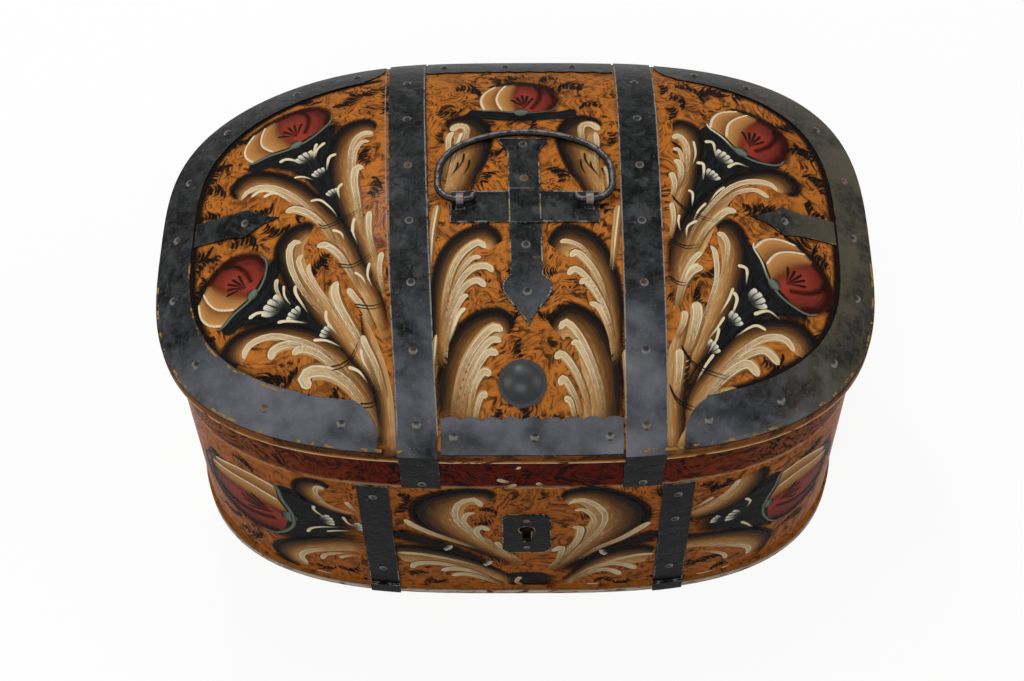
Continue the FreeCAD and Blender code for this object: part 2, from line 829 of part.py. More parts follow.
def handle_staple(x):
    outer_radius = eye_radius + staple_metal
    low = staple_low_z(x) - staple_metal
    outer = staple_bar(x, outer_radius, outer_radius, low)
    inner = staple_bar(x, eye_radius, eye_radius, low - overrun)
    inner = inner.cut(box(x - staple_width, x + staple_width, -lid_width, lid_width, low - 2 * overrun, low))
    hollow = box(
        x - staple_width,
        x + staple_width,
        pivot_y - eye_radius,
        pivot_y + eye_radius,
        low - overrun,
        pivot_z,
    )
    staple = outer.cut([inner, hollow])
    half = staple_width / 2
    feet = []
    for side in (-1, 1):
        ends = sorted((side * eye_radius, side * (outer_radius + clinch_length)))
        feet.append(box(x - half, x + half, pivot_y + ends[0], pivot_y + ends[1], low, low + staple_metal))
    return staple.fuse(feet)


# Slots for one staple's two legs, through the cross bar and the panel.
def staple_cut(x):
    half = staple_width / 2 + nail_fit
    outer = eye_radius + staple_metal + nail_fit
    inner = eye_radius - nail_fit
    low = staple_low_z(x) - overrun
    high = crown_z + overrun
    front = box(x - half, x + half, pivot_y - outer, pivot_y - inner, low, high)
    back = box(x - half, x + half, pivot_y + inner, pivot_y + outer, low, high)
    return Part.makeCompound([front, back])


# Boss: a smooth domed cap on the front slope of the lid.
def boss_place():
    return dome_place(boss_x, boss_y, bedding)


def lid_boss():
    point, facing = boss_place()
    cap = nail(boss_radius - boss_rim, boss_height, boss_shank_radius, boss_shank)
    rim = Part.makeCylinder(boss_radius, boss_rim)
    skirt = Part.makeCylinder(boss_radius - boss_rim, boss_rim, FreeCAD.Vector(0, 0, -boss_rim))
    boss = stand(cap.fuse([rim, skirt]), (point, facing))
    head = boss.cut(under_dome(bedding))
    shank = stand(Part.makeCylinder(boss_shank_radius, boss_shank, up * -boss_shank), (point, facing))
    lift = stand(Part.makeCylinder(boss_shank_radius, boss_rim), (point, facing))
    return head.fuse([shank, lift])


def boss_hole():
    drill = Part.makeCylinder(boss_shank_radius + nail_fit, boss_shank + overrun, up * (-boss_shank - nail_fit))
    return stand(drill, boss_place())


# Lid
def lid_nail_places():
    places = lid_strap_places(left_strap_front_x, left_strap_back_x)
    places += lid_strap_places(right_strap_front_x, right_strap_back_x)
    return places


def band_nail_places():
    places = end_band_places(left_band_nail_shares + right_band_nail_shares)
    places += middle_band_places(front_band_nail_shares, front_band_width)
    places += middle_band_places(back_band_nail_shares, back_band_width)
    return places


def side_and_cross_places():
    return [side_strap_place(-1), side_strap_place(1)] + upright_places()


def lid_panel():
    inset = overhang + hoop_thickness
    outside = oval_prism(0, 0, panel_low_z, crown_z + overrun).common(under_dome(0))
    hollow = oval_prism(inset, inset, panel_low_z - overrun, crown_z).common(under_dome(-panel_thickness))
    panel = outside.cut(hollow)
    places = lid_nail_places() + band_nail_places() + side_and_cross_places()
    panel = panel.cut(nail_holes(places))
    return panel.cut([boss_hole()] + [staple_cut(x) for x in staple_xs()])


def lid_hoop():
    ring = hoop(overhang, hoop_thickness, hoop_low_z, panel_low_z)
    seam = seam_line(lid_seam_x, -1, hoop_low_z, panel_low_z, lid_seam_margin, lid_seam_round)
    ring = ring.cut(seam.common(hoop_skin(hoop_low_z, panel_low_z)))
    return ring.cut(nail_holes(lid_nail_places() + catch_nail_places()))


# Body
def base_board():
    inset = overhang - base_foot
    board = oval_prism(inset, inset, 0, base_thickness)
    pockets = []
    for x, width, side in strap_feet():
        foot_end = outline_y(x, 1, inset) - strap_foot - bedding
        ends = sorted((side * lid_width, side * foot_end))
        half = width / 2 + bedding
        pockets.append(box(x - half, x + half, ends[0], ends[1], -overrun, foot_pocket))
    return board.cut(pockets).cut(peg_holes())


def strap_feet():
    return (
        (front_strap_left_x, front_strap_width, -1),
        (front_strap_right_x, front_strap_width, -1),
        (left_strap_back_x, lid_strap_width, 1),
        (right_strap_back_x, lid_strap_width, 1),
    )


def peg_points():
    inset = overhang + hoop_thickness / 2
    return [outline_point(share, inset, inset, peg_recess) for share in peg_turn_shares]


def base_pegs():
    return Part.makeCompound([Part.makeCylinder(peg_radius, peg_length, point) for point in peg_points()])


def peg_holes():
    holes = []
    for point in peg_points():
        bottom = FreeCAD.Vector(point.x, point.y, -overrun)
        length = overrun + peg_recess + peg_length + nail_fit
        holes.append(Part.makeCylinder(peg_radius + nail_fit, length, bottom))
    return holes


def left_strap_places():
    return body_strap_places(front_strap_left_x, -1, front_strap_nail_shares)


def right_strap_places():
    shares = front_strap_nail_shares + (right_strap_middle_share,)
    return body_strap_places(front_strap_right_x, -1, shares)


def rear_strap_places():
    places = body_strap_places(left_strap_back_x, 1, rear_strap_nail_shares)
    return places + body_strap_places(right_strap_back_x, 1, rear_strap_nail_shares)


def body_hoop():
    ring = hoop(overhang, hoop_thickness, base_thickness, body_height)
    seam = seam_line(body_seam_x, 1, base_thickness, body_height, body_seam_margin, lid_seam_round)
    ring = ring.cut(seam.common(hoop_skin(base_thickness, body_height)))
    ring = ring.cut(stitch_blocks(stitch_play))
    places = left_strap_places() + right_strap_places() + rear_strap_places() + lock_plate_places()
    ring = ring.cut(nail_holes(places) + peg_holes())
    ring = ring.cut(nail_holes(lock_case_places(), case_nail_shank()))
    return ring.cut(keyhole(wall_front_y() - overrun, wall_back_y() + overrun))


# Lock
def wall_front_y():
    return outline_y(lock_x, -1, overhang)


# The flat back plate touches the curved hoop at the plate's ends.
def wall_back_y():
    ends = (lock_x - case_left - case_flange, lock_x + case_right + case_flange)
    return max(outline_y(x, -1, overhang + hoop_thickness) for x in ends)


def keyhole(y_low, y_high):
    round_part = y_cylinder(keyhole_radius, y_low, y_high, lock_x, keyhole_z)
    half = keyhole_slot_width / 2
    slot = box(lock_x - half, lock_x + half, y_low, y_high, keyhole_z - keyhole_slot_drop, keyhole_z)
    return round_part.fuse(slot)


def lock_plate_places():
    offset = lock_plate_height * lock_plate_nail_share
    facing = FreeCAD.Vector(0, -1, 0)
    y = wall_front_y() - bedding - lock_plate_metal
    return [(FreeCAD.Vector(lock_x, y, lock_plate_z + side * offset), facing) for side in (-1, 1)]


def lock_plate():
    half_width = lock_plate_width / 2
    half_height = lock_plate_height / 2
    corner = lock_plate_corner
    x_low = lock_x - half_width
    x_high = lock_x + half_width
    z_low = lock_plate_z - half_height
    z_high = lock_plate_z + half_height
    outline = [
        (x_low + corner, z_low),
        (x_high - corner, z_low),
        (x_high, z_low + corner),
        (x_high, z_high - corner),
        (x_high - corner, z_high),
        (x_low + corner, z_high),
        (x_low, z_high - corner),
        (x_low, z_low + corner),
    ]
    y_back = wall_front_y() - bedding
    points = [FreeCAD.Vector(x, y_back, z) for x, z in outline]
    plate = Part.Face(Part.makePolygon(points + points[:1])).extrude(FreeCAD.Vector(0, -lock_plate_metal, 0))
    plate = plate.cut(nail_holes(lock_plate_places()))
    return plate.cut(keyhole(y_back - 2 * lock_plate_metal, y_back + lock_plate_metal))


# Depths of the lock's works, counted inwards from the hoop's inner face.
back_plate_y = wall_back_y() + bedding
works_y = back_plate_y + case_metal
catch_y = works_y + catch_swing
eye_low_y = catch_y + catch_metal
bolt_low_y = eye_low_y + catch_play
bolt_high_y = bolt_low_y + bolt_thickness
eye_high_y = bolt_high_y + catch_play
catch_high_y = eye_high_y + catch_metal
case_inner_y = catch_high_y + case_clearance
case_top_z = body_height - case_top_gap
bolt_nose_x = lock_x - catch_length / 2 - bolt_stand_off
bolt_end_x = bolt_nose_x - bolt_length
bolt_low_z = bolt_z - bolt_height / 2
bolt_high_z = bolt_z + bolt_height / 2
tail_left = bolt_nose_x - bolt_travel - bolt_neck_width
keeper_low_x = bolt_end_x + bolt_travel + keeper_metal
keeper_high_x = tail_left - bolt_stand_off - keeper_width


def lock_case_places():
    inset = case_flange / 2
    places = []
    for x in (lock_x - case_left - inset, lock_x + case_right + inset):
        for z in (case_low_z + inset, case_top_z - inset):
            places.append((FreeCAD.Vector(x, works_y + case_metal, z), FreeCAD.Vector(0, 1, 0)))
    return places


def case_nail_shank():
    return hoop_thickness * lock_plate_nail_share * 2 + 2 * case_metal


def lock_back_plate():
    x_low = lock_x - case_left - case_flange
    x_high = lock_x + case_right + case_flange
    plate = box(x_low, x_high, back_plate_y, works_y, case_low_z, case_top_z)
    plate = plate.cut(nail_holes(lock_case_places(), case_nail_shank()))
    return plate.cut(keyhole(back_plate_y - overrun, works_y + overrun))


# A shallow tray over the works, with two flanges nailed through to the hoop and a slot for the catch.
def lock_cover():
    x_low = lock_x - case_left
    x_high = lock_x + case_right
    outer_y = case_inner_y + case_metal
    tray = box(x_low, x_high, works_y, outer_y, case_low_z, case_top_z)
    hollow = box(
        x_low + case_metal,
        x_high - case_metal,
        works_y - overrun,
        case_inner_y,
        case_low_z + case_metal,
        case_top_z - case_metal,
    )
    flange_y = works_y + case_metal
    left_flange = box(x_low - case_flange, x_low, works_y, flange_y, case_low_z, case_top_z)
    right_flange = box(x_high, x_high + case_flange, works_y, flange_y, case_low_z, case_top_z)
    slot_half = catch_length / 2 + bolt_stand_off / 2
    slot = box(
        lock_x - slot_half,
        lock_x + slot_half,
        works_y - overrun,
        case_inner_y,
        case_top_z - overrun,
        case_top_z + overrun,
    )
    cover = tray.cut(hollow).fuse([left_flange, right_flange]).cut(slot)
    return cover.cut(nail_holes(lock_case_places(), case_nail_shank()))


# Bolt: a flat bar with a notched tail that the key's bit pushes.
def lock_bolt():
    tail_top = bolt_low_z - catch_below_eye - bolt_stand_off
    tail_low = tail_top - bolt_tail_height
    tail_right = tail_left + bolt_tail_width
    notch_left = lock_x - bolt_travel / 2 - bolt_notch_width / 2
    notch_right = notch_left + bolt_notch_width
    outline = [
        (bolt_end_x, bolt_high_z),
        (bolt_end_x, bolt_low_z),
        (tail_left, bolt_low_z),
        (tail_left, tail_low),
        (notch_left, tail_low),
        (notch_left, tail_low + bolt_notch_depth),
        (notch_right, tail_low + bolt_notch_depth),
        (notch_right, tail_low),
        (tail_right, tail_low),
        (tail_right, tail_top),
        (tail_left + bolt_neck_width, tail_top),
        (tail_left + bolt_neck_width, bolt_low_z),
        (bolt_nose_x, bolt_low_z),
        (bolt_nose_x, bolt_high_z),
    ]
    points = [FreeCAD.Vector(x, bolt_low_y, z) for x, z in outline]
    return Part.Face(Part.makePolygon(points + points[:1])).extrude(FreeCAD.Vector(0, bolt_thickness, 0))


# Two keepers on the back plate hold the bolt level.
def lock_keepers():
    keepers = []
    for x in (keeper_low_x, keeper_high_x):
        low_z = bolt_low_z - bolt_play
        high_z = bolt_high_z + bolt_play
        far_y = bolt_high_y + bolt_play
        block_far = min(far_y + keeper_metal, case_inner_y)
        block = box(x, x + keeper_width, works_y, block_far, low_z - keeper_metal, high_z + keeper_metal)
        space = box(x - overrun, x + keeper_width + overrun, bolt_low_y - bolt_play, far_y, low_z, high_z)
        keepers.append(block.cut(space))
    return Part.makeCompound(keepers)


# A leaf spring over the bolt, held by a stud on the back plate.
def lock_spring():
    stud_x = keeper_low_x + keeper_width / 2
    stud_z = bolt_high_z + keeper_metal + spring_stud_radius + 2 * bolt_play
    stud = y_cylinder(spring_stud_radius, works_y, bolt_high_y, stud_x, stud_z)
    end_x = keeper_high_x - keeper_metal
    middle_x = (stud_x + end_x) / 2
    low = bolt_high_z + bolt_play
    start = FreeCAD.Vector(stud_x, 0, stud_z)
    middle = FreeCAD.Vector(middle_x, 0, (stud_z + low) / 2 - spring_sag)
    end = FreeCAD.Vector(end_x, 0, low)
    lift = FreeCAD.Vector(0, 0, spring_metal)
    y = (bolt_low_y + bolt_high_y - spring_width) / 2
    edges = [
        Part.Arc(start, middle, end).toShape(),
        Part.makeLine(end, end + lift),
        Part.Arc(end + lift, middle + lift, start + lift).toShape(),
        Part.makeLine(start + lift, start),
    ]
    leaf = Part.Face(Part.Wire(edges)).extrude(FreeCAD.Vector(0, spring_width, 0))
    leaf.translate(FreeCAD.Vector(0, y, 0))
    return leaf.fuse(stud)


# The post that a hollow key slips over. It stands on the cover, opposite the keyhole.
def lock_post():
    return y_cylinder(lock_post_radius, works_y + lock_post_gap, case_inner_y, lock_x, keyhole_z)


# The catch hangs from the lid's hoop and drops into the lock, where the bolt passes through its eye.
def catch_nail_places():
    z_middle = hoop_low_z + catch_plate_gap + catch_plate_height / 2
    y = back_plate_y + catch_plate_metal
    facing = FreeCAD.Vector(0, 1, 0)
    offset_x = catch_plate_width / 2 - 2 * small_head_radius
    offset_z = catch_plate_height / 2 - 2 * small_head_radius
    places = []
    for side_x in (-1, 1):
        for side_z in (-1, 1):
            point = FreeCAD.Vector(lock_x + side_x * offset_x, y, z_middle + side_z * offset_z)
            places.append((point, facing))
    return places


def lid_catch():
    half = catch_plate_width / 2
    plate_low = hoop_low_z + catch_plate_gap
    plate_y = back_plate_y + catch_plate_metal
    plate = box(lock_x - half, lock_x + half, back_plate_y, plate_y, plate_low, plate_low + catch_plate_height)
    plate = plate.cut(nail_holes(catch_nail_places()))
    arm_half = catch_length / 2
    eye_low = bolt_low_z - catch_play
    eye_high = bolt_high_z + catch_play
    top = plate_low + 3 * catch_metal
    arm = box(lock_x - arm_half, lock_x + arm_half, catch_y, catch_high_y, eye_low - catch_metal, top)
    bracket = box(lock_x - arm_half, lock_x + arm_half, back_plate_y, catch_high_y, plate_low, top)
    eye = box(lock_x - catch_length, lock_x + catch_length, eye_low_y, eye_high_y, eye_low, eye_high)
    return plate.fuse([bracket, arm]).cut(eye)


def build_parts():
    right_strap = (right_strap_front_x, right_strap_back_x)
    left_strap = (left_strap_front_x, left_strap_back_x)
    lid_strap_nails = lid_strap_places(*left_strap) + lid_strap_places(*right_strap)
    small = (small_head_radius, small_head_height)
    return {
        "base_board": base_board(),
        "base_pegs": base_pegs(),
        "body_hoop": body_hoop(),
        "seam_stitches": stitch_blocks(0),
        "front_strap_left": front_strap(front_strap_left_x, left_strap_places()),
        "front_strap_right": front_strap(front_strap_right_x, right_strap_places()),
        "front_strap_nails": nails(left_strap_places() + right_strap_places()),
        "rear_strap_left": rear_strap(left_strap_back_x),
        "rear_strap_right": rear_strap(right_strap_back_x),
        "rear_strap_nails": nails(rear_strap_places()),
        "hinge_pin_left": hinge_pin(left_strap_back_x),
        "hinge_pin_right": hinge_pin(right_strap_back_x),
        "lock_plate": lock_plate(),
        "lock_plate_nails": nails(lock_plate_places(), *small),
        "lock_back_plate": lock_back_plate(),
        "lock_cover": lock_cover(),
        "lock_cover_nails": nails(lock_case_places(), *small, case_nail_shank()),
        "lock_keepers": lock_keepers(),
        "lock_spring": lock_spring(),
        "lock_post": lock_post(),
        "lock_bolt": lock_bolt(),
        "lid_panel": lid_panel(),
        "lid_hoop": lid_hoop(),
        "lid_strap_left": lid_strap(*left_strap),
        "lid_strap_right": lid_strap(*right_strap),
        "lid_strap_nails": nails(lid_strap_nails),
        "edge_band_left": end_band(-1, left_band_front_x, left_band_back_x, left_band_nail_shares),
        "edge_band_right": end_band(1, right_band_front_x, right_band_back_x, right_band_nail_shares),
        "edge_band_front": middle_band(-1, front_band_width, front_band_nail_shares),
        "edge_band_back": middle_band(1, back_band_width, back_band_nail_shares),
        "edge_band_nails": nails(band_nail_places()),
        "side_strap_left": side_strap(-1),
        "side_strap_right": side_strap(1),
        "side_strap_nails": nails([side_strap_place(-1), side_strap_place(1)]),
        "handle_cross_bar": handle_cross_bar(),
        "handle_upright": handle_upright(),
        "upright_nails": nails(upright_places()),
        "handle_staple_left": handle_staple(staple_xs()[0]),
        "handle_staple_right": handle_staple(staple_xs()[1]),
        "bail_handle": bail_handle(),
        "lid_boss": lid_boss(),
        "lid_catch": lid_catch(),
        "lid_catch_nails": nails(catch_nail_places(), *small),
    }


def write_parts(parts):
    os.makedirs("parts", exist_ok=True)
    for name, shape in parts.items():
        shape.exportStep("parts/" + name + ".step")
        print(name, len(shape.Solids), shape.isValid(), round(shape.Volume))


write_parts(build_parts())
print("hinge axis y", round(hinge_y, 2), "z", round(hinge_z, 2))
print("handle axis x", cross_x, "y", pivot_y, "z", round(pivot_z, 2))
print("handle rest angle", round(math.degrees(handle_rest_angle()), 2))
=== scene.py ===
import bmesh
import bpy
import math
import random
from mathutils import Matrix, Vector


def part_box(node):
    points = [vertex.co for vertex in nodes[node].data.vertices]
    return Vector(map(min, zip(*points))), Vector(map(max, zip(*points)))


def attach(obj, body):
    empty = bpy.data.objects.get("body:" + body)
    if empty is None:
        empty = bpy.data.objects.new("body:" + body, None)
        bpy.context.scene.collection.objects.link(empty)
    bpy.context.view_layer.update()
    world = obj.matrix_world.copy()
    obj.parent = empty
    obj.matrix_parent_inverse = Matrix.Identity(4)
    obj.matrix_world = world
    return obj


# The bentwood box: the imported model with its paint, iron finish, nails and wear. Metres, front towards -Y.
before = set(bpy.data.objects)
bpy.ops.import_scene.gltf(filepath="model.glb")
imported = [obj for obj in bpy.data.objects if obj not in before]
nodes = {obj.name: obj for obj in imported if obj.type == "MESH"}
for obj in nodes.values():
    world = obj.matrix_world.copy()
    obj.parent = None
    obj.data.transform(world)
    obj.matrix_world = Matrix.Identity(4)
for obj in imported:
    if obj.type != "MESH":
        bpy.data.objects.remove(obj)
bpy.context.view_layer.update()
mm = 0.001
tiny = 0.0005
random.seed(7)

# The lid's outline and dome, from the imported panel, and the wall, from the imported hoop
panelLow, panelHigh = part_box("lid_panel")
wallLow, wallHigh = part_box("body_hoop")
rimLow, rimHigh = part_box("lid_hoop")
baseLow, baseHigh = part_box("base_board")
shape = {
    "halfLength": (panelHigh.x - panelLow.x) / 2,
    "halfWidth": (panelHigh.y - panelLow.y) / 2,
    "rise": 0.049,
    "cornerPower": 3.16,
    "slackPower": 2.63,
    "slackAngle": math.radians(135),
    "slackSpread": 4,
    "domePower": 3.0,
    "overhang": 0.007,
    "firstGuess": 0.9,
    "guesses": 8,
}
edgeZ = panelHigh.z - shape["rise"]


# How square the outline is towards this angle: the corner at the back left is slacker
def cornerPower(angle):
    pull = max(0.0, math.cos(angle - shape["slackAngle"])) ** shape["slackSpread"]
    return shape["cornerPower"] - (shape["cornerPower"] - shape["slackPower"]) * pull


def halves(inset):
    return shape["halfLength"] - inset, shape["halfWidth"] - inset


# 1 on the outline drawn in by inset, less inside it
def reach(x, y, inset=0.0):
    a, b = halves(inset)
    power = cornerPower(math.atan2(y / b, x / a))
    return ((abs(x) / a) ** power + (abs(y) / b) ** power) ** (1 / power)


def domeZ(x, y):
    return edgeZ + shape["rise"] * (1 - reach(x, y) ** shape["domePower"])


# The wall's Y at this X, on the front (-1) or the back (1)
def wallY(x, side):
    a, b = halves(shape["overhang"])
    y = b * shape["firstGuess"]
    for _ in range(shape["guesses"]):
        power = cornerPower(math.atan2(side * y / b, x / a))
        y = b * max(0.0, 1 - min(1.0, abs(x) / a) ** power) ** (1 / power)
    return side * y


# A line along the lid's outline between two shares of a turn, drawn in by inset, in millimetres
def outlineRun(start, end, inset, steps):
    a, b = halves(inset * mm)
    spots = []
    for step in range(steps + 1):
        turn = 2 * math.pi * (start + (end - start) * step / steps)
        x, y = a * math.cos(turn), b * math.sin(turn)
        size = reach(x, y, inset * mm)
        spots.append((x / size / mm, y / size / mm))
    return spots


# A place on the dome, lifted along its normal
def onLid(x, y, rise):
    slopeX = (domeZ(x + tiny, y) - domeZ(x - tiny, y)) / (2 * tiny)
    slopeY = (domeZ(x, y + tiny) - domeZ(x, y - tiny)) / (2 * tiny)
    normal = Vector((-slopeX, -slopeY, 1)).normalized()
    return Vector((x, y, domeZ(x, y))) + normal * rise, normal


# A place on the upright wall or rim, by its X and height
def onWall(side):
    def place(x, z, rise):
        ahead = Vector((x + tiny, wallY(x + tiny, side)))
        behind = Vector((x - tiny, wallY(x - tiny, side)))
        along = ahead - behind
        normal = Vector((-along.y, along.x, 0)).normalized() * side
        return Vector((x, wallY(x, side), z)) + normal * rise, normal

    return place


# A mesh object from a bmesh, with its material
def newPiece(name, bm, material):
    mesh = bpy.data.meshes.new(name)
    bm.to_mesh(mesh)
    bm.free()
    mesh.materials.append(material)
    piece = bpy.data.objects.new(name, mesh)
    bpy.context.collection.objects.link(piece)
    return piece


# Colours as they look on screen, 0 to 255
def tint(red, green, blue):
    linear = []
    for value in (red, green, blue):
        share = value / 255
        linear.append(share / 12.92 if share <= 0.04045 else ((share + 0.055) / 1.055) ** 2.4)
    return (*linear, 1.0)


# What a node gives out, so that sums in a shader read as sums
class Value:
    def __init__(self, tree, socket):
        self.tree = tree
        self.socket = socket

    def output(self, label):
        return Value(self.tree, self.socket.node.outputs[label])

    def calc(self, kind, other=0.0):
        return addNode(self.tree, "ShaderNodeMath", {0: self, 1: other}, operation=kind)

    def vector(self, kind, other, output="Vector"):
        return addNode(self.tree, "ShaderNodeVectorMath", {0: self, 1: other}, output, operation=kind)

    def part(self, axis):
        return addNode(self.tree, "ShaderNodeSeparateXYZ", {0: self}, axis)

    def __add__(self, other):
        return self.calc("ADD", other)

    def __sub__(self, other):
        return self.calc("SUBTRACT", other)

    def __rsub__(self, other):
        return addNode(self.tree, "ShaderNodeMath", {0: other, 1: self}, operation="SUBTRACT")

    def __mul__(self, other):
        return self.calc("MULTIPLY", other)

    def __abs__(self):
        return self.calc("ABSOLUTE")

    # Held between 0 and 1
    def held(self):
        self.socket.node.use_clamp = True
        return self

    # The swing of a noise round its middle
    def sway(self, amount):
        return (self - 0.5) * amount

    # From one level to another between two places
    def fade(self, start, end, first=0.0, last=1.0, curve="LINEAR"):
        return ramp(self, [(start, first), (end, last)], curve)


def feed(tree, socket, value):
    if isinstance(value, Value):
        tree.links.new(value.socket, socket)
    else:
        socket.default_value = value


def addNode(tree, kind, inputs=None, output=0, **settings):
    node = tree.nodes.new(kind)
    for key, value in settings.items():
        setattr(node, key, value)
    for key, value in (inputs or {}).items():
        feed(tree, node.inputs[key], value)
    return Value(tree, node.outputs[output])


def ramp(factor, stops, curve="LINEAR"):
    result = addNode(factor.tree, "ShaderNodeValToRGB", {"Fac": factor})
    scale = result.socket.node.color_ramp
    scale.interpolation = curve
    while len(scale.elements) < len(stops):
        scale.elements.new(0.5)
    for element, (place, colour) in zip(scale.elements, stops):
        element.position = place
        element.color = colour if isinstance(colour, tuple) else (colour, colour, colour, 1)
    return result


# A Mix node takes its colours at sockets 6 and 7 and gives the mixed one at output 2
def mix(factor, first, second):
    return addNode(factor.tree, "ShaderNodeMix", {0: factor, 6: first, 7: second}, 2, data_type="RGBA")


def noise(place, scale, detail, rough, distort, output="Fac"):
    inputs = {"Vector": place, "Scale": scale, "Detail": detail, "Roughness": rough, "Distortion": distort}
    return addNode(place.tree, "ShaderNodeTexNoise", inputs, output)


def stretched(place, scale, turn=(0, 0, 0)):
    return addNode(place.tree, "ShaderNodeMapping", {"Vector": place, "Scale": scale, "Rotation": turn})


def coords(tree, output="Object"):
    return addNode(tree, "ShaderNodeTexCoord", output=output)


def strandOf(tree):
    return addNode(tree, "ShaderNodeAttribute", output="Vector", attribute_name="strand")


# A node group whose outputs build works out from its inputs
def newGroup(name, takes, gives, build):
    group = bpy.data.node_groups.new(name, "ShaderNodeTree")
    for way, sockets in (("INPUT", takes), ("OUTPUT", gives)):
        for label, kind in sockets.items():
            group.interface.new_socket(label, in_out=way, socket_type="NodeSocket" + kind)
    start = group.nodes.new("NodeGroupInput")
    end = group.nodes.new("NodeGroupOutput")
    given = build(*[Value(group, start.outputs[label]) for label in takes])
    for label, value in zip(gives, given):
        feed(group, end.inputs[label], value)
    return group


def useGroup(tree, group, inputs):
    return addNode(tree, "ShaderNodeGroup", inputs, node_tree=group)


# Each noise is given by its scale, detail, roughness and distortion
burl = {
    "drift": (22, 2, 0.5, 0.6), "push": (0.085, 0.085, 0.085), "clouds": (38, 3, 0.6, 0.5),
    "turns": (34, 2, 0.5, 0.3), "patches": (46, 3, 0.55, 0.4), "dabs": (1, 3, 0.6, 0.5),
    "across": (85, 290, 290), "along": (290, 85, 110), "alongTurn": (0, 0, 0.5),
    "turnFade": (0.44, 0.56), "lightFade": (0.4, 0.58), "patchFade": (0.42, 0.58, 0.4),
    "flickFade": (0.425, 0.49, 1.0, 0.0), "dabShare": 0.7, "cloudShare": 0.3, "flickShare": 0.92,
    "cloudHeight": 0.5,
}


# Burl figure: feathered dabs of glaze that change direction from place to place, with dark flicks
def burlFigure(place, light, middle, dark, flicks):
    drift = noise(place, *burl["drift"], "Color").vector("SUBTRACT", (0.5, 0.5, 0.5))
    bent = place.vector("ADD", drift.vector("MULTIPLY", burl["push"]))
    clouds = noise(bent, *burl["clouds"])
    turned = noise(place, *burl["turns"]).fade(*burl["turnFade"])
    across = noise(stretched(bent, burl["across"]), *burl["dabs"])
    along = noise(stretched(bent, burl["along"], burl["alongTurn"]), *burl["dabs"])
    dabs = across * turned + along * (1.0 - turned)
    mellow = dabs * burl["dabShare"] + clouds * burl["cloudShare"]
    colour = mix(mellow.fade(*burl["lightFade"]), middle, light)
    patches = noise(bent, *burl["patches"]).fade(*burl["patchFade"])
    strong = (dabs.fade(*burl["flickFade"]) * patches * flicks).held()
    return mix(strong * burl["flickShare"], colour, dark), clouds * burl["cloudHeight"] + dabs


wear = {"detail": 5, "rough": 0.62, "distort": 0.3, "level": 0.78, "share": 0.5, "sharp": 18.0}


# Patchy mask for rubbed and chipped places, from 0 to 1
def patchyWear(place, scale, amount):
    broad = noise(place, scale, wear["detail"], wear["rough"], wear["distort"])
    level = wear["level"] - amount * wear["share"]
    return (((broad - level) * wear["sharp"]).held(),)


streaks = {
    "fine": 6.0, "streakStretch": (2.6, 0.09, 1.6), "streak": (3, 0.6, 0.2), "frayStretch": (1.6, 0.35, 5.0),
    "fray": (2, 0.6, 0.4),
}


# Fine streaks left by a brush along a stroke, from the stroke's own strand places
def brushStreaks(fineness):
    strand = strandOf(fineness.tree)
    streak = noise(strand.vector("MULTIPLY", streaks["streakStretch"]), fineness, *streaks["streak"])
    fray = noise(strand.vector("MULTIPLY", streaks["frayStretch"]), fineness, *streaks["fray"])
    return streak, fray


burlTakes = {"Place": "Vector", "Light": "Color", "Middle": "Color", "Dark": "Color", "Flicks": "Float"}
burlGroup = newGroup("burlFigure", burlTakes, {"Color": "Color", "Height": "Float"}, burlFigure)
wearTakes = {"Place": "Vector", "Scale": "Float", "Amount": "Float"}
wearGroup = newGroup("patchyWear", wearTakes, {"Mask": "Float"}, patchyWear)
streakGives = {"Streak": "Float", "Fray": "Float"}
streakGroup = newGroup("brushStreaks", {"Fineness": "Float"}, streakGives, brushStreaks)
print("groups made")


def wornPlaces(place, scale, amount):
    return useGroup(place.tree, wearGroup, {"Place": place, "Scale": scale, "Amount": amount})


def newMaterial(name, roughness, gloss=0.3, coat=0.0, coatRoughness=0.2):
    material = bpy.data.materials.new(name)
    material.use_nodes = True
    tree = material.node_tree
    shader = tree.nodes["Principled BSDF"]
    shader.inputs["Roughness"].default_value = roughness
    shader.inputs["Specular IOR Level"].default_value = gloss
    shader.inputs["Coat Weight"].default_value = coat
    shader.inputs["Coat Roughness"].default_value = coatRoughness
    return material, tree, shader


# The colour and a bump, by its height, strength and distance
def dressShader(tree, shader, colour, height, strength, distance):
    feed(tree, shader.inputs["Base Color"], colour)
    inputs = {"Height": height, "Strength": strength, "Distance": distance}
    feed(tree, shader.inputs["Normal"], addNode(tree, "ShaderNodeBump", inputs))


# Outwards is away from the middle, and the wall's outline is taken for a curve of the third power
outside = {
    "fromMiddle": (4.0, 8.0, 0.0), "sharp": 6.0, "wallSize": (1 / wallHigh.x, 1 / wallHigh.y, 0.0),
    "power": 3.0, "edge": 0.98, "edgeSharp": 60.0,
}


# 1 where the wood faces out, or up beyond the wall's outline or on the dome, 0 on the bare inside
def outsideMask(tree, domed):
    place, normal = coords(tree), coords(tree, "Normal")
    lean = place.vector("MULTIPLY", outside["fromMiddle"]).vector("DOT_PRODUCT", normal, "Value")
    outward = (lean * outside["sharp"]).held()
    upward = (normal.part("Z") * outside["sharp"]).held()
    if not domed:
        sized = place.vector("MULTIPLY", outside["wallSize"])
        powers = [abs(sized.part(axis)).calc("POWER", outside["power"]) for axis in ("X", "Y")]
        upward = upward * ((powers[0] + powers[1] - outside["edge"]) * outside["edgeSharp"]).held()
    return outward.calc("MAXIMUM", upward)


varnish = {"roughness": 0.34, "gloss": 0.006, "coat": 0.02, "coatRoughness": 0.16}
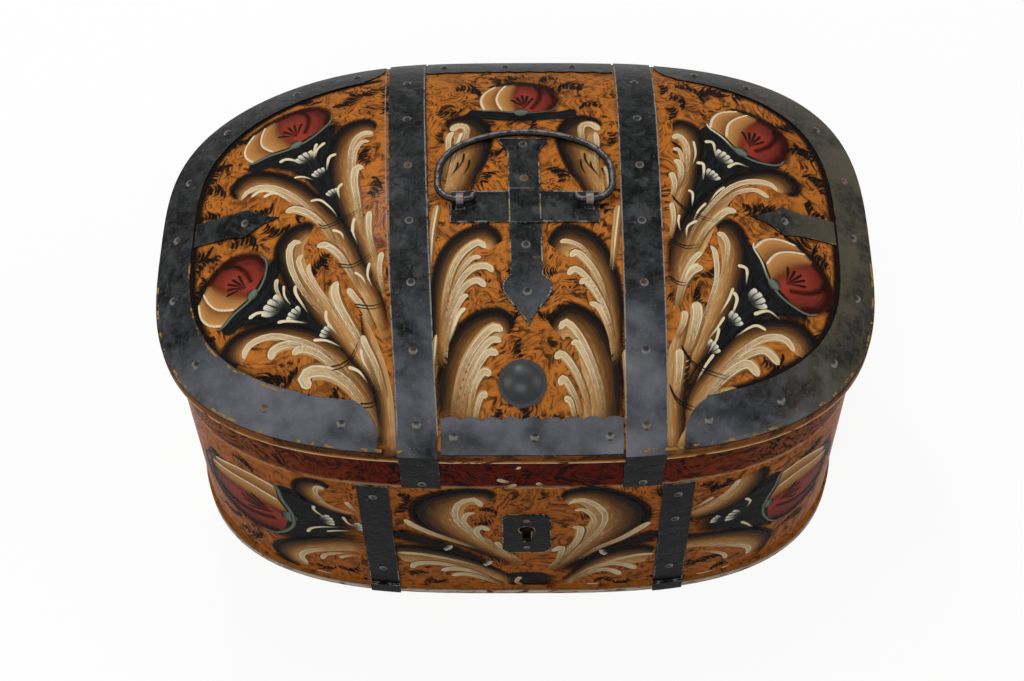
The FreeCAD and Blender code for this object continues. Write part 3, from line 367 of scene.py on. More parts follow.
# Each ground by its light, middle and dark glaze
wood = {
    "lid": (tint(184, 110, 44), tint(116, 67, 31), tint(34, 22, 16)),
    "wall": (tint(178, 101, 40), tint(108, 59, 25), tint(28, 17, 12)),
    "rim": (tint(100, 24, 5), tint(46, 7, 3), tint(9, 4, 4)),
    "base": (tint(128, 68, 26), tint(72, 38, 16), tint(28, 17, 12)),
    "rimEnds": (tint(150, 84, 36), tint(98, 48, 20)), "rimTurn": (0.0, math.radians(35), 0.0),
    "bare": tint(196, 158, 108), "bareDark": tint(150, 112, 70), "worn": tint(226, 206, 168),
    "ochre": tint(204, 134, 54), "hollow": tint(16, 10, 8), "shadowUnderIron": tint(50, 27, 17),
    "boardGrain": (1.4, 22, 30), "hoopGrain": (3, 3, 60), "grain": (14, 4, 0.6, 0.4),
    "keyhole": (0.0078, wallLow.y + 0.004, 0.0936), "holeFade": (0.0135, 0.015, 1.0, 0.0),
    "endFade": (0.09, 0.22, 0.0, 0.85), "ironShadowShare": 0.85, "shadeSharp": 900.0, "chips": (85.0, 0.75),
    "chipStretch": (1, 1, 3), "rub": (30.0, 0.55), "rubShare": 0.3, "bump": (0.12, 0.0006),
}


# Painted and varnished wood outside, bare wood inside. Each wear line has a height, a spread, a strength
# and a colour
def paintedWood(name, ground, flicks, wearLines, turn=(0, 0, 0), shadedTo=None, hollow=None, ends=None,
                bareGrain=wood["hoopGrain"]):
    material, tree, shader = newMaterial(name, **varnish)
    place = coords(tree)
    height = place.part("Z")
    light, middle, dark = wood[ground]
    glazes = [light, middle]
    if ends:
        outer = abs(place.part("X")).fade(*wood["endFade"])
        glazes = [mix(outer, glaze, end) for glaze, end in zip(glazes, ends)]
    colour = useGroup(tree, burlGroup, {"Place": stretched(place, (1, 1, 1), turn), "Light": glazes[0],
                                        "Middle": glazes[1], "Dark": dark, "Flicks": flicks})
    figure = colour.output("Height")
    # Painted shade under the iron band, together with the darker wood of the panel's edge: the panel is
    # darkened below a given height
    if shadedTo:
        below = ((shadedTo - height) * wood["shadeSharp"]).held()
        colour = mix(below * wood["ironShadowShare"], colour, wood["shadowUnderIron"])
    chip = wornPlaces(stretched(place, wood["chipStretch"]), *wood["chips"])
    for level, spread, strength, shade in wearLines:
        near = (1.0 - abs(height - level).calc("DIVIDE", spread)).held()
        colour = mix((near * strength * chip).held(), colour, shade)
    colour = mix(wornPlaces(place, *wood["rub"]) * wood["rubShare"], colour, light)
    grain = noise(stretched(place, bareGrain), *wood["grain"])
    bare = ramp(grain, [(0.35, wood["bareDark"]), (0.65, wood["bare"])])
    colour = mix(outsideMask(tree, shadedTo is not None), bare, colour)
    # Painted shade inside the keyhole
    if hollow:
        away = place.vector("DISTANCE", hollow, "Value")
        colour = mix(away.fade(*wood["holeFade"]), colour, wood["hollow"])
    dressShader(tree, shader, colour, figure, *wood["bump"])
    return material


def makeGrounds():
    ochre, worn = wood["ochre"], wood["worn"]
    atEdge = [(edgeZ - 0.0075, 0.003, 0.9, ochre), (edgeZ - 0.0085, 0.0016, 1.2, worn)]
    atRim = [(rimHigh.z - 0.003, 0.005, 0.4, ochre), (rimHigh.z - 0.0095, 0.0018, 1.0, worn),
             (rimLow.z, 0.003, 0.6, tint(200, 150, 100))]
    atWall = [(wallHigh.z, 0.003, 0.6, tint(205, 160, 110)), (wallLow.z, 0.004, 0.25, ochre)]
    atBase = [(baseLow.z + 0.003, 0.004, 0.9, tint(226, 212, 186)), (baseHigh.z, 0.004, 0.3, ochre)]
    board = {"bareGrain": wood["boardGrain"]}
    return {
        "lid_panel": paintedWood("panelPaint", "lid", 1.0, atEdge, shadedTo=edgeZ + 0.0032, **board),
        "lid_hoop": paintedWood("rimPaint", "rim", 1.9, atRim, wood["rimTurn"], ends=wood["rimEnds"]),
        "body_hoop": paintedWood("wallPaint", "wall", 0.9, atWall, hollow=wood["keyhole"]),
        "base_board": paintedWood("basePaint", "base", 1.0, atBase, **board),
    }


# Noises as in the burl, and the colours that every iron piece shares
iron = {
    "mottle": (60, 5, 0.68, 0.5), "blotch": (190, 4, 0.7, 0.6), "speck": (620, 3, 0.65, 0.3),
    "cloud": (26, 2, 0.45, 0.3), "scratch": (1, 2, 0.5, 0.4), "scratchScale": (900, 60, 200),
    "scratchTurn": (0, 0, 0.4), "sheenFacing": (-0.16, -0.53, 0.83),
    "brown": tint(88, 82, 66), "sheenColour": tint(120, 122, 130), "specks": tint(140, 138, 130),
    "rodTopHighlight": tint(136, 130, 127), "worn": tint(88, 89, 89), "rust": tint(132, 98, 52),
    "dustFade": (0.44, 0.7, 0.0, 0.5), "rubScale": 70.0, "rubShare": 0.3, "rustScale": 260.0,
    "rustShare": 0.8,
    "rightFade": (0.15, 0.235, 0.0, 0.85), "brownFade": (0.5, 0.7, 0.2), "sheenFade": (0.66, 0.88, 0.0),
    "frontFade": (0.04, 0.12, 0.12), "uprightShadeFade": (0.05, 0.4, 0.92, 0.0), "topHighlightFade": (0.92, 1.0, 0.0, 0.7),
    "speckFade": (0.65, 0.71, 0.0, 0.34), "scratchFade": (0.66, 0.74, 0.0, 0.35), "dentDepth": 0.0016,
}


# Black-painted sheet iron: hammered, mottled, dusty in places, with pale and rusty specks. Iron with a
# painted sheen is lighter where it faces up and to the front, standing in for a reflection, and browner
# towards the right
def ironFinish(name, base, worn, rust, roughness, rubbed, rusty, dent, gloss=0.12, paintedSheen=0.0, rod=False):
    material, tree, shader = newMaterial(name, roughness, gloss)
    place, normal = coords(tree), coords(tree, "Normal")
    mottle, blotch, speck = [noise(place, *iron[key]) for key in ("mottle", "blotch", "speck")]
    scratch = noise(stretched(place, iron["scratchScale"], iron["scratchTurn"]), *iron["scratch"])
    dusty = mottle * 0.6 + blotch * 0.4
    colour = mix(dusty.fade(*iron["dustFade"]), base, worn)
    colour = mix(wornPlaces(place, iron["rubScale"], rubbed) * iron["rubShare"], colour, worn)
    if paintedSheen:
        cloud = noise(place, *iron["cloud"])
        brown = place.part("X").fade(*iron["rightFade"]) * (cloud + blotch * 0.3).fade(*iron["brownFade"])
        colour = mix(brown, colour, iron["brown"])
        # Painted sheen: paler where the iron faces up and to the front, most of all towards the front of the
        # box
        lean = normal.vector("DOT_PRODUCT", iron["sheenFacing"], "Value")
        sheen = ((lean + (mottle.sway(0.16) + cloud.sway(0.6))) * 0.8).fade(*iron["sheenFade"], paintedSheen)
        forward = (place.part("Y") * -1.0).fade(*iron["frontFade"])
        colour = mix(sheen * forward, colour, iron["sheenColour"])
    # Painted shade: faces that stand upright are darkened towards the base black
    upward = normal.part("Z")
    colour = mix(upward.fade(*iron["uprightShadeFade"]), colour, base)
    # Painted highlight along the top of a rod, standing also for rubbed metal there
    if rod:
        colour = mix((upward + blotch.sway(0.5)).fade(*iron["topHighlightFade"]), colour, iron["rodTopHighlight"])
    colour = mix(speck.fade(*iron["speckFade"]), colour, iron["specks"])
    colour = mix(scratch.fade(*iron["scratchFade"]), colour, worn)
    colour = mix(wornPlaces(place, iron["rustScale"], rusty) * iron["rustShare"], colour, rust)
    feed(tree, shader.inputs["Roughness"], (dusty * 0.3 + (roughness - 0.14)).held())
    dressShader(tree, shader, colour, mottle * 1.6 + blotch * 0.7 + speck * 0.15, dent, iron["dentDepth"])
    return material


# Nail heads: dark in the middle and paler where the head slopes, from the tilt of its face, with rusty
# patches
def makeNailIron():
    material, tree, shader = newMaterial("nailIron", 0.42, 0.16)
    place, normal = coords(tree), coords(tree, "Normal")
    level = normal.part("Z").calc("MAXIMUM", abs(normal.part("Y")))
    speck = noise(place, 260, 4, 0.65, 0.3)
    head = ramp(level + speck.sway(0.3), [(0.5, tint(60, 58, 58)), (0.74, tint(128, 124, 118)),
                                          (0.94, tint(40, 38, 38)), (1.0, tint(24, 22, 22))])
    rust = noise(place, 30, 2, 0.5, 0.0).fade(0.52, 0.66, 0.0, 0.7)
    dressShader(tree, shader, mix(rust, head, tint(112, 78, 46)), speck, 0.4, 0.0008)
    return material


# Plain fibre from a dark to a light colour
def makeFibre(name, roughness, stretch, figure, dark, light, strength, distance):
    material, tree, shader = newMaterial(name, roughness)
    fibre = noise(stretched(coords(tree), stretch), *figure)
    dressShader(tree, shader, ramp(fibre, [(0.3, dark), (0.7, light)]), fibre, strength, distance)
    return material


finishes = {
    "strap": ironFinish("strapIron", tint(13, 14, 15), iron["worn"], iron["rust"], roughness=0.34, rubbed=0.4,
                        rusty=0.2, dent=0.34, gloss=0.04, paintedSheen=0.8),
    "wallStrap": ironFinish("wallIron", tint(9, 10, 13), tint(60, 62, 68), iron["rust"], roughness=0.3,
                            rubbed=0.3, rusty=0.2, dent=0.3, gloss=0.03),
    "handle": ironFinish("handleIron", tint(9, 7, 7), tint(46, 40, 38), tint(62, 40, 28), roughness=0.2,
                         rubbed=0.3, rusty=0.3, dent=0.3, gloss=0.24, rod=True),
    "staple": ironFinish("stapleIron", tint(34, 30, 32), tint(164, 158, 160), tint(120, 84, 48),
                         roughness=0.24, rubbed=0.9, rusty=0.5, dent=0.4, gloss=0.4, rod=True),
    "boss": ironFinish("bossIron", tint(10, 11, 14), tint(44, 48, 56), tint(70, 50, 36), roughness=0.36,
                       rubbed=0.2, rusty=0.1, dent=0.06, gloss=0.4),
    "lock": ironFinish("lockIron", tint(60, 56, 52), tint(130, 124, 116), tint(104, 68, 40), roughness=0.5,
                       rubbed=0.6, rusty=0.6, dent=0.4),
    "nail": makeNailIron(),
    "root": makeFibre("rootFibre", 0.7, (1, 1, 6), (160, 4, 0.6, 0.5), tint(112, 78, 44), tint(176, 134, 84),
                      0.4, 0.0008),
    "peg": makeFibre("pegWood", 0.6, (60, 60, 6), (8, 3, 0.6, 0.3), tint(120, 84, 50), tint(168, 124, 78),
                     0.2, 0.0005),
}
# The first line that fits the start of a name gives its finish, and any other piece is strap iron
finishStarts = (
    ("handle_staple", "staple"), ("bail_handle", "handle"), ("hinge_pin", "handle"),
    ("front_strap", "wallStrap"), ("rear_strap", "wallStrap"), ("lock_plate", "wallStrap"),
    ("lid_boss", "boss"), ("lock_", "lock"), ("lid_catch", "lock"), ("seam_stitches", "root"),
    ("base_pegs", "peg"), ("", "strap"),
)


def dressNodes():
    grounds = makeGrounds()
    for name, node in nodes.items():
        if name in grounds:
            material = grounds[name]
        elif name.endswith("_nails"):
            material = finishes["nail"]
        else:
            material = finishes[next(finish for start, finish in finishStarts if name.startswith(start))]
        node.data.materials.clear()
        node.data.materials.append(material)


dressNodes()
print("iron and wood dressed")

camera = {
    "aim": Vector((-1.634 * mm, -79.17 * mm, edgeZ)),
    "distance": 1.29657,
    "elevation": math.radians(56.505),
    "yaw": math.radians(1.1698),
    "roll": math.radians(-1.1501),
    "lens": 66.80,
    "sensor": 36.0,
    "clip": 20,
}


def placeCamera():
    yaw, elevation, roll = camera["yaw"], camera["elevation"], camera["roll"]
    flat = math.cos(elevation)
    back = Vector((math.sin(yaw) * flat, -math.cos(yaw) * flat, math.sin(elevation)))
    right = (-back).cross(Vector((0, 0, 1))).normalized()
    above = right.cross(-back)
    rightRolled = math.cos(roll) * right + math.sin(roll) * above
    aboveRolled = math.cos(roll) * above - math.sin(roll) * right
    data = bpy.data.cameras.new("studioCamera")
    data.lens = camera["lens"]
    data.sensor_width = camera["sensor"]
    data.clip_end = camera["clip"]
    eye = bpy.data.objects.new("studioCamera", data)
    turn = Matrix((rightRolled, aboveRolled, back)).transposed().to_4x4()
    eye.matrix_world = Matrix.Translation(camera["aim"] + back * camera["distance"]) @ turn
    bpy.context.collection.objects.link(eye)
    bpy.context.scene.camera = eye


lamps = {
    "overhead": {"place": (0.1, 0.8, 2.1), "aim": (0, 0, 0.2), "size": (2.2, 1.0), "power": 9},
    "leftSoft": {"place": (-1.9, -0.3, 1.5), "aim": (0, 0, 0.15), "size": (1.2, 1.2), "power": 12},
    "rightSoft": {"place": (1.9, -0.3, 1.5), "aim": (0, 0, 0.15), "size": (1.2, 1.2), "power": 9},
    "frontTop": {"place": (-0.35, -1.7, 2.1), "aim": (0, 0, 0.15), "size": (1.6, 0.8), "power": 17},
    "glint": {"place": (-0.5, 1.3, 1.95), "aim": (0, 0, 0.25), "size": (0.22, 0.22), "power": 10},
}
stage = {"floorSize": 6.0, "grey": (0.5, 0.5, 0.5, 1), "white": (1, 1, 1, 1), "glow": 1.14, "glowShare": 0.78,
         "fill": 0.26, "seenFill": 0.74}


# 1 where the camera sees a surface, straight or through a gloss or a see-through stroke
def seenRays(tree):
    ray = addNode(tree, "ShaderNodeLightPath", output="Is Camera Ray")
    seen = ray.calc("MAXIMUM", ray.output("Is Transmission Ray"))
    return seen.calc("MAXIMUM", ray.output("Is Glossy Ray"))


def lightStage():
    for name, lamp in lamps.items():
        data = bpy.data.lights.new(name, "AREA")
        data.shape = "RECTANGLE"
        data.size, data.size_y = lamp["size"]
        data.energy = lamp["power"]
        light = bpy.data.objects.new(name, data)
        light.location = lamp["place"]
        away = Vector(lamp["place"]) - Vector(lamp["aim"])
        light.rotation_euler = away.to_track_quat("Z", "Y").to_euler()
        bpy.context.collection.objects.link(light)
    world = bpy.data.worlds.new("paleStudio")
    world.use_nodes = True
    bpy.context.scene.world = world
    background = world.node_tree.nodes["Background"]
    background.inputs["Color"].default_value = stage["white"]
    strength = seenRays(world.node_tree) * stage["seenFill"] + stage["fill"]
    feed(world.node_tree, background.inputs["Strength"], strength)
    bpy.context.scene.view_settings.view_transform = "Standard"


def layFloor():
    bm = bmesh.new()
    bmesh.ops.create_grid(bm, x_segments=1, y_segments=1, size=stage["floorSize"])
    material, tree, shader = newMaterial("paleFloor", 0.9)
    shader.inputs["Base Color"].default_value = stage["grey"]
    glow = addNode(tree, "ShaderNodeEmission", {"Color": stage["white"], "Strength": stage["glow"]})
    plain = Value(tree, shader.outputs[0])
    mixed = addNode(tree, "ShaderNodeMixShader", {0: seenRays(tree) * stage["glowShare"], 1: plain, 2: glow})
    feed(tree, tree.nodes["Material Output"].inputs["Surface"], mixed)
    newPiece("floor", bm, material)


placeCamera()
lightStage()
layFloor()
print("camera, lamps and floor placed")


# Paint is laid in thin strokes just above the ground. A sheet collects the strokes of one kind
class Sheet:
    def __init__(self, name, body):
        self.name = name
        self.body = body
        self.bm = bmesh.new()
        self.strand = self.bm.verts.layers.float_vector.new("strand")
        self.laid = 0

    def finish(self, material):
        if not self.bm.faces:
            self.bm.free()
            return
        for face in self.bm.faces:
            face.smooth = True
        piece = newPiece(self.name, self.bm, material)
        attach(piece, self.body)


# A smooth line through the points, at evenly spread or head-heavy places
def smoothLine(points, rows, headHeavy=1.0):
    spots = [Vector(point) for point in points]
    spots = [spots[0]] + spots + [spots[-1]]
    fine = []
    for index in range(1, len(spots) - 2):
        a, b, c, d = spots[index - 1:index + 3]
        for step in range(8):
            t = step / 8
            fine.append(0.5 * (2 * b + (c - a) * t + (2 * a - 5 * b + 4 * c - d) * t * t
                               + (3 * b - a - 3 * c + d) * t ** 3))
    fine.append(spots[-1])
    run = [0.0]
    for first, second in zip(fine, fine[1:]):
        run.append(run[-1] + (second - first).length)
    line = []
    at = 0
    for row in range(rows + 1):
        goal = run[-1] * (row / rows) ** headHeavy
        while at < len(run) - 2 and run[at + 1] < goal:
            at += 1
        share = (goal - run[at]) / max(1e-9, run[at + 1] - run[at])
        line.append(fine[at].lerp(fine[at + 1], min(1.0, max(0.0, share))))
    return line, run[-1]


# Each stroke lies a hair above the one before, so that no two share a plane
layers = {"step": 0.0004, "count": 60, "seeds": 10, "lengthShare": 0.01}


# A grid is bent so that its columns run from one edge line to the other
def layGrid(sheet, first, second, length, rise, place, headHeavy, columns):
    rows = len(first) - 1
    made = bmesh.ops.create_grid(sheet.bm, x_segments=columns, y_segments=rows, size=1)["verts"]
    seed = random.random() * layers["seeds"]
    lift = (rise + layers["step"] * (sheet.laid % layers["count"])) * mm
    sheet.laid += 1
    for vert in made:
        across = (vert.co.x + 1) / 2
        row = round((vert.co.y + 1) / 2 * rows)
        spot = first[row].lerp(second[row], across)
        along = (row / rows) ** headHeavy
        vert.co, vert.normal = place(spot.x * mm, spot.y * mm, lift)
        vert[sheet.strand] = (across, along, seed + length * layers["lengthShare"] * along)
    faces = {face for vert in made for face in vert.link_faces}
    facing = 0.0
    for face in faces:
        outward = face.verts[0].normal.copy()
        face.normal_update()
        facing += face.normal.dot(outward) * face.calc_area()
    if facing < 0:
        bmesh.ops.reverse_faces(sheet.bm, faces=list(faces))


# A filled shape between two edge lines
def band(sheet, first, second, rise, place, rows, columns):
    firstLine, firstLength = smoothLine(first, rows)
    secondLine, secondLength = smoothLine(second, rows)
    layGrid(sheet, firstLine, secondLine, max(firstLength, secondLength), rise, place, 1.0, columns)


brushHabit = {"headHeavy": 1.4, "taper": 1.2, "thinnest": 0.04}


# A stroke of the brush: round head, then drawn out to its tail. A rounded one is a dab with two round ends
def stroke(sheet, points, width, rise, place, tail=0.25, headShare=0.1, rows=16, columns=3, rounded=False):
    heavy = 1.0 if rounded else brushHabit["headHeavy"]
    line, length = smoothLine(points, rows, heavy)
    first, second = [], []
    for row, spot in enumerate(line):
        along = (row / rows) ** heavy
        ahead = line[min(rows, row + 1)] - line[max(0, row - 1)]
        side = Vector((ahead.y, -ahead.x)).normalized() if ahead.length > 0 else Vector((1, 0))
        if rounded:
            share = math.sqrt(max(0.0, 1 - (2 * along - 1) ** 2))
        else:
            head = min(1.0, along / headShare)
            share = math.sqrt(max(0.0, 1 - (1 - head) ** 2)) * (1 - (1 - tail) * along ** brushHabit["taper"])
        half = width / 2 * max(brushHabit["thinnest"], share)
        first.append(spot - side * half)
        second.append(spot + side * half)
    layGrid(sheet, first, second, length, rise, place, heavy, columns)


# Each kind of stroke and its height above the ground in millimetres, in the order in which they are finished
strokeRises = {
    "rub": 1.39, "ochreRub": 1.40, "haze": 0.02, "flick": 0.04, "shade": 0.06, "dark": 0.10, "leaf": 0.14,
    "tanPetal": 0.17, "redPetal": 0.20, "blush": 0.225, "side": 0.20, "cream": 0.25, "pale": 0.275,
    "grey": 0.24, "rim": 0.29, "line": 0.33,
}
paint = {
    "ink": tint(19, 19, 20), "inkSoft": tint(36, 28, 23), "inkPale": tint(40, 41, 42),
    "haze": tint(58, 36, 22),
    "leaf": [(0.0, tint(27, 25, 26)), (0.16, tint(40, 31, 25)), (0.36, tint(98, 64, 34)),
             (0.6, tint(154, 108, 60)), (1.0, tint(190, 148, 96))],
    "leafStreak": tint(214, 186, 136),
    "side": [(0.0, tint(116, 80, 42)), (0.5, tint(164, 120, 68)), (1.0, tint(192, 152, 100))],
    "cream": tint(228, 216, 184), "creamBody": tint(202, 174, 128), "creamLow": tint(174, 134, 86),
    "tan": tint(192, 136, 78), "tanLow": tint(118, 70, 34),
    "red": tint(146, 56, 42), "redLow": tint(66, 28, 22), "blush": tint(40, 16, 14),
    "rim": tint(104, 112, 98), "rimLow": tint(26, 34, 32),
    "grey": tint(222, 216, 194), "greyLow": tint(92, 94, 86),
    "rub": (tint(172, 170, 164), tint(104, 102, 98), 0.36, 0.5),
    "ochreRub": (tint(196, 158, 84), tint(120, 84, 44), 0.52, 0.57),
    "thickBump": (0.35, 0.0004), "thinBump": (0.15, 0.0003),
}


# Soft paint whose cover depends on the place across and along the stroke
def strokePaint(kind):
    material, tree, shader = newMaterial(kind + "Paint", **varnish)
    across, along = strandOf(tree).part("X"), strandOf(tree).part("Y")
    streak = useGroup(tree, streakGroup, {"Fineness": streaks["fine"]})
    fray = streak.output("Fray")
    middle = 1.0 - abs(across * 2.0 - 1.0)
    wander = streak.sway(0.5)
    tailFade = (along + wander * 0.5).fade(0.72, 1.0, 1.0, 0.0)
    colour = mix(streak, paint["ink"], paint["inkSoft"])
    if kind == "shade":
        cover = middle.fade(0.0, 0.9, 0.0, 0.97, "EASE") * tailFade
    elif kind == "haze":
        colour = mix(streak, paint["haze"], paint["inkSoft"])
        ends = ramp(along, [(0.0, 0.0), (0.3, 1.0), (0.7, 1.0), (1.0, 0.0)])
        dusty = noise(coords(tree), 300, 3, 0.6, 0.8).fade(0.4, 0.6)
        cover = middle.fade(0.0, 0.9, 0.0, 0.6, "EASE") * (ends * dusty)
    elif kind == "blush":
        colour = mix(streak, paint["redLow"], paint["blush"])
        cover = middle.fade(0.0, 0.95, 0.0, 0.7, "EASE")
    elif kind == "pale":
        colour = mix(streak.fade(0.4, 0.7), paint["cream"], paint["creamBody"])
        cover = middle.fade(0.0, 0.2, 0.4) * (along + fray.sway(0.8)).fade(0.6, 1.0, 1.0, 0.0)
    elif kind in ("rub", "ochreRub"):
        pale, low, start, end = paint[kind]
        colour = mix(streak, pale, low)
        broken = noise(coords(tree), 130, 4, 0.65, 0.3).fade(start, end, 0.0, 0.8)
        cover = broken * middle.fade(0.0, 0.4)
    elif kind == "dark":
        colour = mix(streak.fade(0.4, 0.75), paint["ink"], paint["inkPale"])
        cover = middle.fade(0.0, 0.3, curve="EASE") * tailFade
    elif kind == "leaf":
        bright = streak.fade(0.55, 0.64, 0.0, 0.45) * across.fade(0.42, 0.7)
        colour = mix(bright, ramp(across + wander * 0.5, paint["leaf"]), paint["leafStreak"])
        cover = across.fade(0.0, 0.09) * along.fade(0.86, 1.0, 1.0, 0.0)
    elif kind == "side":
        colour = ramp(across + wander, paint["side"])
        cover = middle.fade(0.0, 0.2, 0.35) * tailFade
    elif kind == "cream":
        body = mix((along + wander).fade(0.0, 0.3), paint["creamBody"], paint["creamLow"])
        colour = mix(middle.fade(0.14, 0.4) * streak.fade(0.4, 0.6, 0.45), paint["cream"], body)
        colour = mix(along.fade(0.4, 0.95, 0.0, 0.85), colour, paint["creamLow"])
        thin = (along + (fray.sway(1.5) + streak.sway(0.5))).fade(0.42, 0.95, 1.0, 0.0)
        cover = middle.fade(0.0, 0.15, 0.5) * thin
    elif kind == "tanPetal":
        colour = mix((across + wander).fade(0.1, 0.95), paint["tan"], paint["tanLow"])
        cover = along.fade(0.9, 1.0, 1.0, 0.4)
    elif kind == "redPetal":
        away = ramp(across + wander, [(0.1, 0.1), (0.35, 0.0), (0.7, 0.4), (1.0, 1.0)])
        colour = mix(away, paint["red"], paint["redLow"])
        colour = mix(along.fade(0.55, 1.0, 0.0, 0.85), colour, paint["redLow"])
        cover = across.fade(0.0, 0.3, curve="EASE")
    elif kind == "rim":
        colour = ramp(middle + wander, [(0.1, paint["rimLow"]), (0.75, paint["rim"])])
        cover = middle.fade(0.0, 0.2, 0.2)
    elif kind == "grey":
        colour = mix((along + wander).fade(0.1, 0.75), paint["grey"], paint["greyLow"])
        cover = middle.fade(0.0, 0.3, 0.3, 0.95) * (along + fray.sway(1.0)).fade(0.45, 1.0, 1.0, 0.0)
    else:
        cover = middle.fade(0.0, 0.5) * (along + fray.sway(1.2)).fade(0.5, 1.0, 0.86, 0.0)
    feed(tree, shader.inputs["Alpha"], cover)
    bump = paint["thickBump"] if kind in ("cream", "grey", "rim") else paint["thinBump"]
    dressShader(tree, shader, colour, streak, *bump)
    return material


paints = {kind: strokePaint(kind) for kind in strokeRises}
widestPale = 3.1
fern = {"size": 1.2, "count": 10}


# The sheets of one surface, and the brush moves that fill them
class Brush:
    def __init__(self, surface, body, place, mirrored=False):
        self.sheets = {kind: Sheet(surface + kind[0].upper() + kind[1:], body) for kind in strokeRises}
        self.place = (lambda x, y, rise: place(-x, y, rise)) if mirrored else place

    # A narrow cream stroke is a pale one
    def draw(self, kind, points, width, **manner):
        if kind == "cream" and width < widestPale:
            kind = "pale"
        stroke(self.sheets[kind], points, width, strokeRises[kind], self.place, **manner)

    def fill(self, kind, first, second, rows=20, columns=6):
        band(self.sheets[kind], first, second, strokeRises[kind], self.place, rows, columns)

    # Brown body with a dark scrolled outer edge, from the outer line to the inner one
    def leaf(self, outer, inner, halo=6.5):
        self.draw("shade", outer, halo * 1.5, tail=0.35, headShare=0.06, rows=24)
        self.fill("leaf", outer, inner, 26, 8)

    # A pale plume with a tan bed
    def plume(self, points, width):
        self.draw("side", points, width * 1.9, tail=0.5, headShare=0.14)
        self.draw("cream", points, width * 1.2, tail=0.3)

    # Small fan of grey-white touches
    def tulip(self, x, y, turn, size):
        angle = math.radians(turn)
        ahead = Vector((math.cos(angle), math.sin(angle)))
        side = Vector((-ahead.y, ahead.x))
        foot = Vector((x, y))
        for lean, far in ((-0.55, 0.95), (-0.18, 1.05), (0.2, 1.0), (0.58, 0.85)):
            tip = foot - ahead * size * far + side * size * lean
            bend = foot - ahead * size * 0.45 + side * size * lean * 0.9
            root = foot + side * size * lean * 0.2
            self.draw("grey", [tip, bend, root], size * 0.38, tail=0.4, rows=8, columns=2)

    # Half tan, half red bud on a grey-green cup. Its points are shares of its half width and its height
    def flower(self, tanEnd, redEnd, height, side, lean=0.0, depth=1.0):
        start, end = Vector(tanEnd), Vector(redEnd)
        middle = (start + end) / 2
        along = (end - start) / 2
        up = Vector((-along.y, along.x)).normalized() * side * height

        def spot(u, v):
            v = v * depth if v < 0 else v
            return middle + along * (u + lean * v) + up * v

        def line(*pairs):
            return [spot(u, v) for u, v in pairs]

        self.draw("shade", line((-0.9, 0.9), (0, 1.06), (0.7, 0.85), (1.0, 0.3)), height * 0.35, tail=0.8,
                  headShare=0.3)
        self.fill("tanPetal", line((-1.0, 0), (-1.1, 0.3), (-1.0, 0.62), (-0.68, 0.92)),
                  line((-0.5, -0.05), (-0.62, 0.34), (-0.55, 0.7), (-0.4, 0.98)), 12, 4)
        self.fill("tanPetal", line((-0.5, -0.05), (-0.66, 0.34), (-0.58, 0.7), (-0.4, 0.98)),
                  line((0.0, -0.22), (-0.1, 0.36), (-0.08, 0.72), (0.0, 1.04)), 12, 4)
        self.fill("redPetal", line((-0.2, -0.22), (-0.34, 0.36), (-0.3, 0.74), (-0.16, 1.02)),
                  line((0.8, -0.1), (1.02, 0.3), (0.86, 0.68), (0.45, 0.96)), 14, 8)
        for arc in (line((-0.98, -0.02), (-1.08, 0.3), (-0.99, 0.62), (-0.68, 0.92)),
                    line((-0.5, -0.04), (-0.65, 0.34), (-0.58, 0.68), (-0.4, 0.98))):
            self.draw("pale", arc, height * 0.065, tail=0.6)
            self.draw("pale", arc[::-1], height * 0.055, tail=0.6)
        for arc, width, tail in (
            (line((0.4, 1.0), (0.54, 0.7), (0.5, 0.35), (0.3, 0.02)), 0.24, 0.7),
            (line((0.4, 0.99), (0.8, 0.78), (0.99, 0.36), (0.84, -0.04)), 0.4, 0.8),
            (line((-0.16, 1.0), (0.1, 1.0), (0.4, 0.98)), 0.22, 0.9),
        ):
            self.draw("blush", arc, height * width, tail=tail)
        self.draw("line", line((0.4, 0.98), (0.56, 0.7), (0.54, 0.36)), height * 0.045, tail=0.5)
        for spread in (-0.6, -0.34, -0.1, 0.16, 0.42):
            tip = spot(0.1 + spread * 0.62, 0.6 - abs(spread) * 0.36)
            vein = [tip, (tip + spot(0.12, 0.1)) / 2, spot(0.12, 0.06)]
            self.draw("line", vein, height * 0.085, tail=0.5, rows=6, columns=2)
        self.draw("dark", line((-1.15, -0.12), (-0.6, -0.26), (0.1, -0.36), (0.7, -0.26), (1.12, 0.0)),
                  height * 0.52 * depth, tail=0.9)
        cup = line((-1.13, 0.06), (-0.98, -0.04), (-0.6, -0.1), (-0.15, -0.24), (0.3, -0.26), (0.72, -0.12),
                   (0.98, 0.06), (1.04, 0.24))
        self.draw("rim", cup, height * 0.1 * depth, tail=0.6, headShare=0.12, rows=22)
        self.draw("cream", cup[:4], height * 0.045, tail=0.4)
        bead = spot(0.02, -0.21)
        radius = height * 0.15
        half = along.normalized() * radius
        dot = [bead - half * 0.35, bead + half * 0.35]
        self.draw("rim", [bead - half, bead + half], radius * 2, rounded=True, rows=10, columns=4)
        self.draw("dark", dot, radius * 0.7, rounded=True, rows=6, columns=3)

